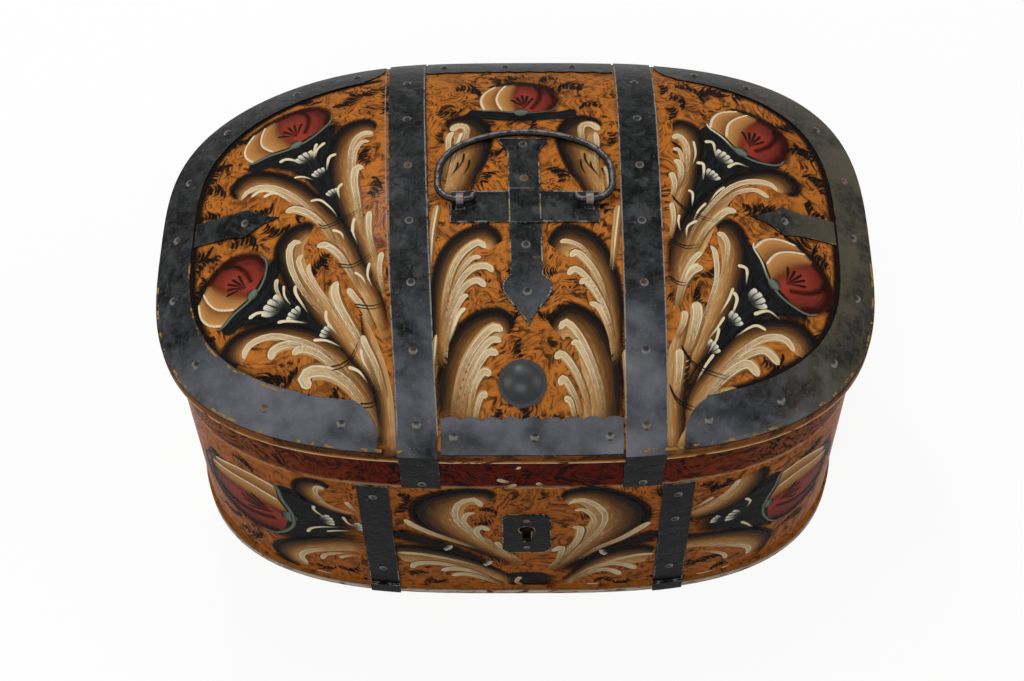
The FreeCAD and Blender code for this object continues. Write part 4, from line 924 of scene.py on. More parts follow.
    # A feathery tuft: curved flicks side by side, like a small wing
    def fern(self, x, y, turn, size):
        size *= fern["size"]
        angle = math.radians(turn + random.uniform(-10, 10))
        ahead = Vector((math.cos(angle), math.sin(angle)))
        side = Vector((-ahead.y, ahead.x)) * random.choice((-1, 1))
        foot = Vector((x, y)) - ahead * size * 0.35
        bed = [foot - ahead * size * 0.1 + side * size * 0.2, foot + ahead * size * 0.5 + side * size * 0.3,
               foot + ahead * size * 1.1 + side * size * 0.2]
        self.draw("haze", bed, size * 0.75, tail=0.7, headShare=0.4, rows=8, columns=4)
        for index in range(fern["count"]):
            share = index / (fern["count"] - 1)
            root = foot + ahead * size * (0.85 * share + random.uniform(-0.05, 0.05))
            root = root + side * size * (0.16 * math.sin(math.pi * share) + random.uniform(-0.07, 0.05))
            length = size * (0.3 + 0.42 * math.sin(math.pi * (0.15 + 0.75 * share)))
            length *= random.uniform(0.75, 1.15)
            sway = random.uniform(0.5, 0.9)
            middle = root + side * length * 0.5 + ahead * length * sway * 0.22
            tip = root + side * length * 0.75 + ahead * length * sway
            width = size * random.uniform(0.1, 0.19)
            self.draw("flick", [root, middle, tip], width, tail=0.2, headShare=0.3, rows=6, columns=2)

    # Two thin dark lines that bind a bundle of stems
    def tie(self, points):
        below = [(x + 0.5, y - 2.2) for x, y in points]
        for line, width in ((points, 1.3), (below, 1.0)):
            self.draw("line", line, width, tail=0.9, headShare=0.05, rows=10, columns=2)

    def finish(self):
        for kind, sheet in self.sheets.items():
            sheet.finish(paints[kind])


# The ornament's places are in millimetres from the middle of the lid. This panel has two flowers on dark
# beds, four leaves with their plumes, and ties round the stems
def paintLeftPanel(brush):
    brush.flower((-186, 55), (-130, 87), 30, 1, 0.12)
    brush.flower((-197, -81), (-167, -36), 29, 1, -0.05)
    brush.fill("dark",
        [(-190, 50), (-174, 44), (-152, 34), (-138, 18), (-126, 2), (-116, -18)],
        [(-122, 88), (-124, 70), (-127, 48), (-124, 26), (-118, 6), (-110, -20)])
    brush.fill("dark",
        [(-200, -86), (-182, -88), (-158, -88), (-138, -92), (-122, -100), (-104, -118)],
        [(-160, -30), (-158, -46), (-150, -62), (-138, -78), (-124, -92), (-102, -112)])
    brush.leaf(
        [(-196, 24), (-199, 34), (-191, 43), (-178, 43), (-164, 37), (-150, 28), (-140, 18), (-130, 6),
         (-118, -8), (-110, -22), (-102, -40), (-92, -60), (-86, -76), (-80, -102)],
        [(-191, 21), (-188, 25), (-181, 27), (-171, 25), (-160, 18), (-150, 8), (-140, -4), (-131, -16),
         (-123, -29), (-116, -44), (-108, -60), (-100, -74), (-92, -90), (-84, -112)])
    brush.leaf(
        [(-98, 76), (-103, 82), (-112, 83), (-122, 77), (-128, 64), (-130, 48), (-129, 32), (-125, 12),
         (-119, -6), (-111, -24), (-103, -44), (-95, -68)],
        [(-100, 66), (-103, 66), (-107, 64), (-110, 56), (-111, 44), (-111, 30), (-108, 12), (-104, -4),
         (-98, -20), (-92, -38), (-86, -72)])
    brush.leaf(
        [(-184, -110), (-193, -106), (-193, -97), (-184, -90), (-168, -87), (-150, -88), (-134, -93),
         (-118, -101), (-106, -113), (-96, -125), (-90, -138), (-84, -158)],
        [(-180, -108), (-178, -105), (-176, -101), (-172, -98), (-162, -97), (-148, -101), (-134, -107),
         (-122, -117), (-112, -126), (-104, -136), (-97, -148), (-88, -165)])
    brush.leaf(
        [(-137, -12), (-144, -10), (-154, -14), (-161, -24), (-161, -36), (-156, -50), (-149, -64),
         (-139, -79), (-127, -95), (-115, -107), (-100, -124)],
        [(-141, -24), (-142, -26), (-143, -28), (-143, -32), (-141, -42), (-136, -54), (-129, -66),
         (-121, -79), (-112, -92), (-104, -104), (-90, -130)])
    for points, width in (
        ([(-191, 22), (-188, 27), (-180, 30), (-168, 27), (-156, 19), (-146, 9), (-134, -6), (-124, -20),
         (-118, -33)], 4.4),
        ([(-184, 22), (-178, 26), (-168, 23), (-157, 14), (-148, 4)], 3.0),
        ([(-175, 20), (-168, 22), (-160, 17)], 3.0),
        ([(-100, 69), (-106, 70), (-112, 65), (-115, 54), (-115, 40), (-113, 20)], 4.6),
        ([(-102, 61), (-107, 61), (-111, 54), (-112, 40), (-110, 10)], 3.6),
        ([(-179, -107), (-180, -103), (-175, -97), (-162, -94), (-146, -98), (-130, -105), (-114, -118),
         (-100, -135)], 5.0),
        ([(-145, -25), (-150, -24), (-153, -31), (-150, -47), (-141, -65), (-129, -81), (-118, -94)], 5.2),
        ([(-143, -35), (-146, -40), (-140, -55), (-130, -71), (-118, -88)], 3.8),
        ([(-138, -43), (-138, -50), (-130, -65), (-118, -81), (-106, -98)], 3.2),
        ([(-141, 10), (-134, 10), (-126, 2), (-121, -6)], 2.2),
        ([(-124, -17), (-118, -20), (-115, -27)], 2.4), ([(-107, -53), (-102, -57), (-98, -64)], 2.0),
        ([(-110, -20), (-109, -10), (-106, -9)], 2.4), ([(-109, -8), (-110, -18), (-106, -30)], 2.4),
        ([(-119, 23), (-122, 18), (-120, 9)], 2.4), ([(-97, -46), (-98, -56), (-94, -66)], 2.2),
        ([(-133, -100), (-124, -101), (-114, -106)], 2.2), ([(-109, -119), (-102, -122), (-96, -129)], 2.4),
        ([(-101, -108), (-99, -116), (-94, -124)], 2.2), ([(-125, 51), (-130, 48), (-131, 36)], 3.0),
        ([(-147, -59), (-146, -66), (-137, -81)], 2.6), ([(-125, -80), (-124, -88), (-116, -98)], 2.4),
        ([(-128, -30), (-124, -30), (-119, -36)], 2.0),
    ):
        brush.draw("cream", points, width)
    for points, width in (
        ([(-158, 3), (-152, 5), (-142, 0), (-132, -10), (-126, -20), (-120, -34)], 4.6),
        ([(-134, -30), (-128, -29), (-118, -38), (-110, -52), (-102, -68)], 4.4),
        ([(-111, -65), (-106, -72), (-100, -80), (-92, -96)], 3.6),
        ([(-105, 35), (-110, 36), (-111, 24), (-108, 8), (-105, -10), (-100, -26)], 5.0),
        ([(-99, -3), (-99, -14), (-97, -28), (-91, -48)], 3.6), ([(-89, -38), (-90, -52), (-86, -72)], 3.2),
        ([(-161, -110), (-160, -104), (-150, -101), (-138, -105), (-126, -113)], 5.0),
        ([(-147, -108), (-141, -105), (-130, -109), (-116, -120), (-106, -132)], 4.4),
        ([(-134, -130), (-139, -124), (-133, -120), (-120, -122), (-108, -130), (-98, -142), (-88, -160)],
         7.0),
        ([(-118, -59), (-120, -66), (-116, -78), (-108, -92), (-100, -106), (-88, -134)], 5.2),
        ([(-100, -99), (-98, -105), (-90, -120), (-83, -140)], 3.8),
    ):
        brush.plume(points, width)
    brush.fill("leaf",
        [(-102, -86), (-99, -112), (-93, -132), (-90, -150), (-90, -170)],
        [(-100, -85), (-90, -104), (-82, -126), (-78, -148), (-77, -170)], 20, 6)
    for points in (
        [(-134, -10), (-130, -13), (-118, -8), (-102, 2)],
        [(-119, -45), (-110, -47), (-102, -43), (-93, -36)], [(-106, -77), (-94, -79), (-85, -76)],
        [(-121, -118), (-114, -117), (-107, -112), (-101, -99)], [(-101, -141), (-94, -141), (-88, -138)],
    ):
        brush.tie(points)
    for points, width in (
        ([(-166, 50), (-160, 52), (-149, 46)], 3.0), ([(-140, 64), (-141, 58), (-141, 48)], 2.6),
        ([(-134, 64), (-139, 58), (-140, 50)], 2.8), ([(-154, 33), (-148, 33), (-140, 29)], 2.0),
        ([(-160, -52), (-160, -60), (-153, -73)], 3.2), ([(-178, -79), (-172, -76), (-162, -77)], 3.0),
        ([(-158, -85), (-150, -85), (-137, -88)], 2.4), ([(-155, -58), (-154, -66), (-149, -74)], 2.0),
    ):
        brush.draw("cream", points, width)
    brush.tulip(-144, 47, -50, 10)
    brush.tulip(-134, 32, -50, 7)
    brush.tulip(-124, 13, -55, 6)
    brush.tulip(-156, -76, -28, 12)
    brush.tulip(-143, -83, -35, 8)
    brush.tulip(-121, -97, -35, 7)


# A flower behind the handle and six leaves in pairs
def paintCentrePanel(brush):
    brush.flower((-22, 90), (30, 90), 33, 1, 0.0, 0.4)
    brush.draw("shade", [(-36, 85), (-12, 82), (5, 80), (22, 82), (46, 86)], 11, tail=0.9)
    for points in (
        [(-33, 88), (-24, 85), (-10, 83), (6, 82)], [(44, 89), (34, 85), (20, 83), (4, 82)],
    ):
        brush.draw("dark", points, 9.5, tail=0.8, headShare=0.1)
    for points in (
        [(3, 82), (-1, 76), (-10, 72)], [(3, 82), (7, 76), (16, 72)],
    ):
        brush.draw("line", points, 2.2, tail=0.3)
    brush.leaf(
        [(-45, 70), (-46, 78), (-34, 82), (-22, 76), (-17, 60), (-19, 44), (-24, 28), (-30, 8)],
        [(-44, 66), (-44, 66), (-43, 62), (-42, 56), (-43, 46), (-45, 34), (-47, 20), (-49, 4)])
    brush.leaf(
        [(59, 70), (58, 78), (46, 82), (34, 74), (31, 56), (37, 34), (46, 16), (52, 0)],
        [(58, 66), (58, 66), (58, 62), (57, 56), (58, 44), (60, 32), (62, 18), (64, 2)])
    brush.leaf(
        [(-9, -32), (-12, -25), (-20, -19), (-33, -23), (-44, -33), (-51, -48), (-54, -68), (-54, -92),
         (-53, -120)],
        [(-17, -38), (-20, -36), (-24, -36), (-29, -42), (-34, -52), (-38, -66), (-40, -82), (-42, -98),
         (-44, -122)])
    brush.leaf(
        [(24, -34), (27, -26), (34, -19), (46, -21), (58, -31), (67, -50), (71, -72), (72, -94), (72, -118)],
        [(36, -44), (37, -42), (40, -42), (45, -46), (51, -56), (55, -70), (58, -86), (62, -100),
         (65, -120)])
    brush.leaf(
        [(-1, -96), (-4, -88), (-12, -84), (-25, -87), (-38, -98), (-46, -114), (-50, -134), (-50, -155)],
        [(-9, -104), (-10, -102), (-13, -101), (-18, -106), (-23, -116), (-25, -128), (-25, -140),
         (-24, -155)])
    brush.leaf(
        [(24, -94), (28, -87), (37, -81), (49, -85), (61, -98), (69, -116), (71, -136), (71, -158)],
        [(33, -104), (34, -102), (37, -102), (41, -108), (44, -120), (46, -132), (46, -144), (44, -158)])
    for points, width in (
        ([(-43, 67), (-46, 60), (-46, 44), (-49, 20)], 3.6), ([(-37, 66), (-40, 54), (-43, 36)], 2.4),
        ([(57, 66), (58, 56), (57, 40), (60, 18)], 3.4), ([(63, 34), (65, 26), (65, 10)], 2.8),
        ([(-19, -37), (-24, -32), (-34, -40), (-41, -54), (-45, -74), (-47, -96)], 4.6),
        ([(-14, -56), (-18, -51), (-28, -53), (-37, -65), (-42, -83), (-46, -106)], 4.6),
        ([(-22, -44), (-28, -45), (-36, -56), (-41, -70)], 3.0),
        ([(-19, -67), (-24, -62), (-32, -66), (-39, -79), (-43, -99)], 4.2),
        ([(-30, -73), (-34, -75), (-40, -88), (-45, -112)], 3.4),
        ([(-32, -82), (-37, -88), (-43, -106)], 2.8), ([(31, -32), (36, -31), (46, -36), (56, -50)], 3.0),
        ([(38, -44), (42, -40), (50, -48), (58, -63), (63, -84)], 4.6),
        ([(36, -58), (41, -53), (49, -60), (57, -74), (62, -92)], 4.2),
        ([(44, -65), (48, -62), (56, -73), (62, -87), (67, -110)], 4.2),
        ([(50, -79), (56, -81), (62, -94), (66, -110)], 3.4),
        ([(-7, -98), (-14, -96), (-25, -107), (-34, -124), (-40, -150)], 5.0),
        ([(-8, -105), (-15, -104), (-25, -116), (-33, -134), (-37, -152)], 4.2),
        ([(-10, -113), (-17, -112), (-25, -123), (-31, -138), (-34, -152)], 4.4),
        ([(-15, -126), (-20, -124), (-26, -134), (-29, -152)], 4.4),
        ([(-17, -138), (-21, -138), (-24, -146), (-25, -156)], 3.8),
        ([(30, -97), (35, -92), (44, -102), (52, -118), (58, -136), (60, -154)], 4.4),
        ([(38, -107), (42, -106), (50, -121), (56, -139), (58, -154)], 4.2),
        ([(27, -116), (32, -113), (41, -124), (48, -140), (49, -152)], 4.4),
        ([(30, -132), (33, -128), (40, -138), (46, -152)], 4.2), ([(33, -140), (37, -141), (41, -152)], 3.4),
    ):
        brush.plume(points, width * 0.92)
    for points, width in (
        ([(-45, 68), (-40, 73), (-34, 71), (-34, 60), (-37, 46)], 4.2),
        ([(60, 68), (54, 74), (48, 72), (48, 60), (52, 45)], 4.2),
    ):
        brush.plume(points, width)
    for points in (
        [(-35, 46), (-36, 38), (-41, 28)], [(-39, 38), (-40, 32), (-45, 23)],
        [(-31, 40), (-32, 33), (-36, 24)], [(49, 46), (50, 38), (56, 28)], [(53, 38), (54, 32), (60, 23)],
        [(46, 40), (47, 32), (51, 24)],
    ):
        brush.draw("line", points, 2.4, tail=0.3, headShare=0.25)
    for points, width in (
        ([(-52, 0), (-55, -24), (-56, -56)], 6.0), ([(72, 0), (69, -24), (66, -54)], 7.0),
        ([(-51, -100), (-53, -124), (-53, -150)], 4.0), ([(73, -110), (74, -130), (74, -150)], 4.0),
    ):
        brush.draw("side", points, width, tail=0.6)
        brush.draw("pale", points, 1.4, tail=0.6)
    for x, y, turn, size in (
        (-33, 110, 150, 18), (36, 112, 20, 22), (-44, 92, 180, 14), (52, 92, 0, 14), (-14, 74, 250, 12),
        (18, 74, 290, 12), (-48, 60, 100, 10), (64, 58, 80, 12), (-14, 24, 240, 12), (26, 26, 300, 14),
        (3, 126, 90, 16), (-16, 126, 130, 12), (24, 128, 40, 14), (-30, 20, 250, 12), (-22, -14, 200, 12),
        (30, -6, 330, 12), (-34, -6, 200, 14), (54, -4, 330, 14), (0, -70, 90, 12), (16, -72, 60, 12),
        (-4, -60, 120, 10), (24, -62, 40, 12), (0, -84, 180, 10), (20, -84, 0, 10), (6, -108, 270, 10),
        (4, -150, 90, 10), (-6, -152, 120, 10), (22, -154, 60, 12), (-12, 50, 200, 10),
    ):
        brush.fern(x, y, turn, size)


# Two flowers and four leaves, as on the left but not mirrored
def paintRightPanel(brush):
    brush.flower((139, 78), (186, 48), 33, 1, -0.1)
    brush.flower((164, -27), (197, -75), 31, 1, 0.05)
    brush.fill("dark",
        [(132, 84), (131, 66), (130, 48), (127, 30), (121, 12), (113, -14)],
        [(194, 44), (176, 42), (160, 36), (144, 24), (130, 8), (117, -16)])
    brush.fill("dark",
        [(158, -20), (157, -36), (154, -54), (147, -74), (136, -96), (118, -124)],
        [(202, -82), (186, -82), (168, -84), (152, -92), (138, -106), (121, -128)])
    brush.leaf(
        [(112, 76), (116, 80), (122, 80), (129, 74), (132, 60), (130, 44), (127, 24), (121, 4), (114, -20)],
        [(112, 62), (113, 63), (115, 62), (117, 58), (118, 50), (116, 38), (112, 22), (108, 6), (105, -14)])
    brush.leaf(
        [(192, 24), (198, 28), (199, 36), (189, 43), (171, 41), (154, 33), (138, 20), (125, 4), (114, -12),
         (105, -30), (102, -62)],
        [(184, 25), (182, 26), (180, 28), (174, 28), (163, 26), (152, 14), (144, 0), (137, -15), (130, -32),
         (121, -52), (108, -84)])
    brush.leaf(
        [(139, -16), (141, -10), (149, -8), (156, -16), (158, -32), (155, -52), (149, -72), (139, -94),
         (130, -109), (119, -122), (106, -146)],
        [(138, -22), (138, -24), (139, -28), (140, -34), (140, -46), (136, -62), (130, -80), (122, -96),
         (114, -112), (108, -126), (102, -152)])
    brush.leaf(
        [(196, -106), (201, -99), (200, -90), (189, -82), (171, -83), (154, -89), (140, -103), (128, -116),
         (116, -130), (107, -152)],
        [(187, -103), (185, -100), (182, -98), (176, -97), (166, -99), (154, -107), (143, -117), (132, -129),
         (122, -142), (112, -162)])
    for points, width in (
        ([(111, 63), (116, 66), (121, 57), (121, 40), (117, 20)], 4.4),
        ([(111, 52), (115, 52), (117, 42), (114, 26)], 3.4),
        ([(184, 25), (178, 31), (164, 30), (150, 22), (138, 8), (126, -10), (118, -28), (112, -50)], 4.6),
        ([(177, 18), (168, 23), (156, 19), (144, 9), (133, -4)], 4.2),
        ([(138, -20), (142, -20), (145, -28), (143, -42), (139, -56)], 4.6),
        ([(133, -30), (136, -36), (136, -56), (130, -76), (123, -93), (118, -108)], 4.2),
        ([(187, -102), (180, -94), (166, -96), (150, -107), (136, -120), (122, -138)], 5.0),
        ([(168, -90), (160, -88), (147, -97)], 2.4), ([(125, -10), (118, -16), (117, -27)], 2.2),
        ([(113, -6), (112, -12), (113, -20)], 2.0), ([(124, -46), (118, -50), (113, -63)], 2.6),
        ([(147, -62), (143, -72), (136, -84)], 2.2), ([(140, -84), (135, -92), (128, -101)], 2.0),
        ([(132, 6), (126, -2), (122, -12)], 2.0), ([(146, 22), (140, 16), (134, 6)], 2.0),
        ([(132, -110), (126, -118), (120, -128)], 2.2), ([(126, 62), (127, 50), (124, 38)], 2.0),
        ([(134, 62), (140, 62), (141, 50)], 3.0), ([(149, 40), (156, 45), (164, 43)], 2.8),
        ([(127, 41), (132, 40), (131, 26)], 3.0), ([(120, 16), (123, 13), (122, 2)], 2.4),
        ([(151, -44), (157, -46), (156, -58)], 3.0), ([(160, -80), (170, -76), (178, -81)], 2.8),
        ([(147, -65), (149, -71), (144, -85)], 2.8), ([(136, -92), (134, -100), (128, -110)], 2.2),
    ):
        brush.draw("cream", points, width)
    for points, width in (
        ([(111, 41), (115, 40), (116, 30), (112, 14)], 4.0), ([(109, 31), (111, 20), (108, 4)], 3.6),
        ([(153, 1), (146, 1), (136, -10), (128, -22), (120, -42)], 4.4),
        ([(108, 4), (109, -10), (106, -28)], 3.0), ([(121, -75), (122, -84), (118, -100), (112, -116)], 6.2),
        ([(114, -82), (112, -92), (107, -102)], 3.8), ([(109, -108), (109, -120), (106, -142)], 4.8),
        ([(127, -48), (120, -52), (114, -62), (110, -78)], 4.2),
        ([(127, -36), (120, -44), (113, -60), (107, -84)], 3.4),
        ([(162, -121), (154, -114), (141, -122), (128, -136), (118, -152)], 5.4),
        ([(176, -112), (166, -104), (152, -110), (140, -122), (128, -136)], 4.6),
        ([(150, -136), (141, -134), (127, -143), (115, -160)], 5.4),
    ):
        brush.plume(points, width)
    brush.fill("leaf",
        [(117, -84), (118, -108), (114, -134), (113, -150), (113, -170)],
        [(115, -85), (104, -104), (100, -122), (100, -144), (100, -170)], 20, 6)
    brush.draw("side", [(126, -146), (119, -152), (112, -160), (108, -169)], 6, tail=0.9)
    for points in (
        [(108, 11), (116, 1), (128, -6), (145, -9)], [(106, -27), (116, -32), (127, -29)],
        [(104, -57), (110, -61), (117, -61)], [(110, -105), (118, -116), (130, -121), (147, -124)],
        [(102, -130), (108, -139), (123, -144)],
    ):
        brush.tie(points)
    brush.tulip(143, 45, 230, 10)
    brush.tulip(135, 28, 230, 8)
    brush.tulip(158, -72, 215, 11)
    brush.tulip(144, -88, 225, 8)
    brush.tulip(129, -108, 225, 7)


# Tufts of the burl on the two outer panels, by place, direction and size
def paintSideFerns(brush):
    for x, y, turn, size in (
        (-128, 112, 60, 20), (-146, 120, 140, 16), (-112, 122, 30, 14), (-198, 74, 200, 20),
        (-206, 52, 220, 18), (-212, 30, 160, 16), (-100, 50, 280, 14), (-100, 22, 260, 14),
        (-97, -12, 280, 12), (-160, -6, 170, 16), (-184, -24, 150, 18), (-208, -30, 200, 16),
        (-218, -44, 240, 14), (-210, -78, 230, 16), (-204, -96, 240, 16), (-124, -44, 90, 12),
        (-130, -50, 60, 12), (-104, -78, 280, 12), (-150, -118, 200, 14), (-168, -120, 180, 14),
        (-158, -128, 200, 16), (-122, -132, 220, 14), (-140, -138, 190, 12), (-144, -4, 60, 12),
        (-174, 12, 180, 16), (-212, 8, 160, 14), (-196, -14, 190, 14), (-102, -10, 250, 10),
        (-176, 118, 150, 14), (-162, 126, 120, 12), (-96, 96, 80, 14), (-98, 116, 100, 14),
        (-214, -14, 180, 14), (-188, -116, 220, 14), (-116, -70, 100, 10), (142, 112, 40, 20),
        (126, 118, 150, 16), (168, 116, 30, 18), (116, 100, 120, 14), (200, 62, -20, 18), (208, 40, -40, 16),
        (190, 96, 10, 16), (206, 76, -30, 14), (212, 20, -60, 16), (166, 12, 200, 14), (176, -2, 10, 18),
        (212, -20, -60, 16), (192, -10, 20, 16), (206, -66, -60, 16), (214, -44, -80, 14),
        (174, -106, 190, 14), (184, -116, -30, 16), (110, 56, 260, 10), (108, 88, 90, 14),
        (120, -60, 60, 12), (128, -50, 40, 12), (126, -68, 300, 12), (138, -4, 60, 12), (164, -130, -20, 14),
        (172, -124, 10, 12), (206, -92, -80, 14), (110, -70, 270, 10), (148, -146, -20, 12),
        (152, 124, 160, 14), (104, 118, 100, 12),
    ):
        brush.fern(x, y, turn, size)


# The wall, by X and height: a flower at each end and leaves that grow from the middle of the foot
def paintFrontWall(brush):
    brush.flower((-169, 128), (-175, 52), 48, -1, 0.0)
    brush.flower((187, 131), (187, 57), 36, 1, 0.0)
    brush.fill("dark",
        [(-166, 134), (-150, 130), (-136, 122), (-124, 114), (-108, 106)],
        [(-176, 46), (-158, 56), (-142, 66), (-126, 74), (-108, 76)])
    brush.fill("dark",
        [(184, 136), (172, 130), (160, 122), (146, 112), (124, 104)],
        [(187, 52), (174, 58), (160, 66), (146, 74), (124, 78)])
    brush.leaf(
        [(-129, 146), (-134, 152), (-143, 152), (-151, 147), (-154, 136), (-149, 124), (-136, 114),
         (-112, 106)],
        [(-133, 141), (-135, 141), (-137, 138), (-137, 132), (-134, 126), (-129, 121), (-122, 117),
         (-110, 113)])
    brush.leaf(
        [(-166, 9), (-176, 16), (-180, 28), (-172, 43), (-158, 57), (-142, 68), (-126, 76), (-110, 80)],
        [(-155, 17), (-157, 20), (-158, 25), (-155, 34), (-147, 42), (-136, 49), (-124, 54), (-110, 58)])
    brush.leaf(
        [(-14, 146), (-19, 153), (-34, 155), (-50, 151), (-66, 141), (-72, 127), (-70, 111), (-60, 95),
         (-44, 80), (-24, 60), (-4, 40)],
        [(-24, 132), (-26, 134), (-30, 136), (-34, 132), (-36, 124), (-35, 112), (-30, 100), (-22, 88),
         (-13, 74), (-2, 60), (8, 44)], 8.5)
    brush.leaf(
        [(32, 146), (38, 153), (54, 157), (70, 150), (86, 136), (93, 119), (90, 102), (78, 84), (62, 66),
         (44, 46), (30, 28)],
        [(37, 134), (39, 136), (43, 137), (48, 132), (52, 122), (52, 110), (48, 98), (42, 84), (36, 68),
         (28, 50), (20, 34)], 8.5)
    brush.leaf(
        [(-88, 66), (-84, 70), (-70, 70), (-52, 64), (-34, 54), (-18, 40), (0, 24)],
        [(-84, 50), (-80, 46), (-68, 44), (-54, 42), (-38, 36), (-22, 26), (-4, 12)])
    brush.leaf(
        [(100, 62), (92, 68), (76, 66), (62, 58), (50, 46), (40, 30), (30, 16)],
        [(94, 44), (86, 42), (74, 42), (64, 38), (54, 28), (44, 18), (34, 8)])
    brush.leaf(
        [(118, 76), (140, 74), (160, 69), (178, 56), (188, 40), (184, 20), (178, 10)],
        [(118, 58), (134, 56), (150, 50), (162, 42), (170, 32), (172, 24), (170, 18)])
    brush.leaf(
        [(172, 152), (174, 142), (171, 128), (162, 114), (146, 104), (122, 98)],
        [(154, 146), (152, 138), (147, 130), (139, 122), (130, 116), (118, 110)])
    brush.fill("dark", [(-8, 30), (4, 33), (18, 32), (30, 26)], [(-6, 10), (6, 9), (18, 9), (30, 10)], 10, 6)
    brush.draw("shade", [(-90, 92), (-62, 78), (-38, 60), (-12, 38)], 30, tail=0.5, headShare=0.2)
    brush.draw("shade", [(104, 88), (80, 74), (56, 56), (30, 32)], 30, tail=0.5, headShare=0.2)
    brush.tulip(-52, 72, 150, 6)
    brush.tulip(-24, 48, 150, 6)
    brush.tulip(66, 64, 30, 6)
    for points, width in (
        ([(-132, 144), (-137, 145), (-139, 137), (-134, 126), (-126, 118)], 4.0),
        ([(-118, 130), (-114, 121), (-108, 115)], 4.0),
        ([(-156, 19), (-160, 28), (-155, 39), (-141, 50), (-125, 57), (-110, 61)], 5.0),
        ([(-144, 33), (-140, 42), (-128, 49), (-112, 54)], 4.2), ([(-130, 41), (-122, 47), (-110, 51)], 3.6),
        ([(-86, 60), (-69, 59), (-50, 53), (-27, 41), (-6, 22)], 3.8),
        ([(-23, 132), (-28, 143), (-38, 138), (-42, 126), (-41, 111), (-31, 93), (-17, 77), (-3, 61),
         (9, 45)], 5.6),
        ([(-28, 123), (-34, 121), (-36, 108), (-28, 92), (-14, 74)], 4.2),
        ([(37, 136), (45, 142), (56, 134), (63, 117), (60, 98), (51, 78), (40, 58), (31, 37)], 5.6),
        ([(41, 126), (48, 127), (55, 114), (54, 98), (46, 78)], 4.4),
        ([(100, 55), (87, 55), (70, 48), (53, 34), (37, 14)], 3.8),
        ([(172, 22), (171, 34), (158, 46), (141, 53), (122, 57)], 4.6),
        ([(155, 27), (152, 36), (140, 46), (124, 51)], 3.8),
        ([(155, 146), (148, 132), (136, 121), (122, 111)], 4.2), ([(138, 129), (130, 122), (120, 116)], 3.4),
    ):
        brush.draw("cream", points, width)
    for points, width in (
        ([(-77, 36), (-73, 44), (-58, 46), (-38, 38), (-18, 22)], 4.6),
        ([(-55, 33), (-49, 37), (-34, 34), (-13, 16)], 4.4),
        ([(-48, 26), (-39, 29), (-27, 24), (-8, 10)], 4.0),
        ([(-19, 97), (-24, 102), (-28, 95), (-22, 81), (-10, 67)], 4.2),
        ([(-14, 80), (-10, 71), (-2, 58)], 3.6), ([(40, 101), (46, 100), (44, 81), (37, 64), (30, 44)], 4.6),
        ([(26, 65), (33, 72), (32, 58), (28, 39)], 4.0),
        ([(-78, 112), (-72, 103), (-58, 91), (-42, 80), (-26, 68)], 4.0),
        ([(95, 105), (87, 95), (75, 82), (59, 69), (46, 52)], 4.0),
        ([(88, 33), (79, 41), (66, 43), (52, 33), (40, 16)], 4.6),
        ([(77, 25), (69, 33), (59, 33), (42, 17)], 4.4), ([(3, 24), (0, 16), (6, 10)], 2.6),
        ([(112, 40), (104, 44), (96, 46)], 3.4),
    ):
        brush.plume(points, width)
    for points, width in (
        ([(-142, 116), (-142, 109), (-134, 100)], 2.8), ([(-122, 107), (-119, 98), (-113, 94)], 2.6),
        ([(-151, 72), (-147, 80), (-138, 86), (-125, 90)], 2.8), ([(162, 115), (166, 108), (164, 100)], 2.8),
        ([(162, 80), (167, 73), (172, 64)], 2.6), ([(-136, 80), (-128, 84), (-116, 87)], 2.2),
    ):
        brush.draw("cream", points, width)
    brush.tulip(-139, 96, 200, 10)
    brush.tulip(-116, 93, 200, 8)
    brush.tulip(160, 92, -20, 10)
    brush.tulip(146, 93, -20, 7)
    for x, y, turn, size in (
        (-22, 112, 200, 12), (-18, 122, 150, 12), (-80, 138, 100, 14), (-84, 126, 80, 14),
        (-90, 148, 60, 10), (140, 146, 40, 14), (132, 140, 120, 14), (146, 30, 200, 14), (134, 36, 160, 12),
        (-126, 28, 10, 14), (-140, 24, 170, 12), (-190, 140, 150, 14), (-206, 130, 170, 14),
        (-196, 38, 200, 16), (-210, 50, 200, 14), (-216, 80, 180, 14), (204, 142, 20, 14), (216, 126, 0, 12),
        (200, 40, -20, 16), (212, 56, -10, 14), (216, 90, 0, 14), (-56, 20, 180, 12), (-70, 26, 190, 12),
        (62, 14, -10, 12), (76, 16, 0, 12), (-92, 24, 180, 12), (104, 20, 0, 12), (-120, 12, 10, 12),
        (120, 14, 170, 12), (-60, 78, 60, 10), (72, 74, 120, 10), (-4, 146, 90, 10), (16, 146, 90, 10),
        (-100, 140, 90, 12), (104, 144, 80, 12), (150, 14, 10, 12), (-150, 10, 180, 10), (-84, 88, 90, 10),
        (100, 86, 90, 10),
    ):
        brush.fern(x, y, turn, size)


# The iron's edges on the lid, in millimetres: shares of a turn along the bands, and lines along the straps
bandEdges = {
    "shadowTurns": ((0.318, 0.655), (-0.158, 0.182)), "shadowInset": 27.2, "shadowSteps": 40,
    "ochreTurns": ((0.53, 0.705, 2.2, 2.0), (0.795, 0.99, 2.2, 2.0), (0.52, 0.65, 25.2, 1.6)),
    "ochreSteps": 30,
    "strapLines": (((-76.5, -160), (-77.9, -130), (-87.3, 0), (-95.9, 160)),
                   ((-50.0, -160), (-59.7, 0), (-67.7, 160)),
                   ((100.5, -160), (100.5, 0), (100.5, 160)), ((73.5, -160), (73.5, 0), (73.5, 160))),
}
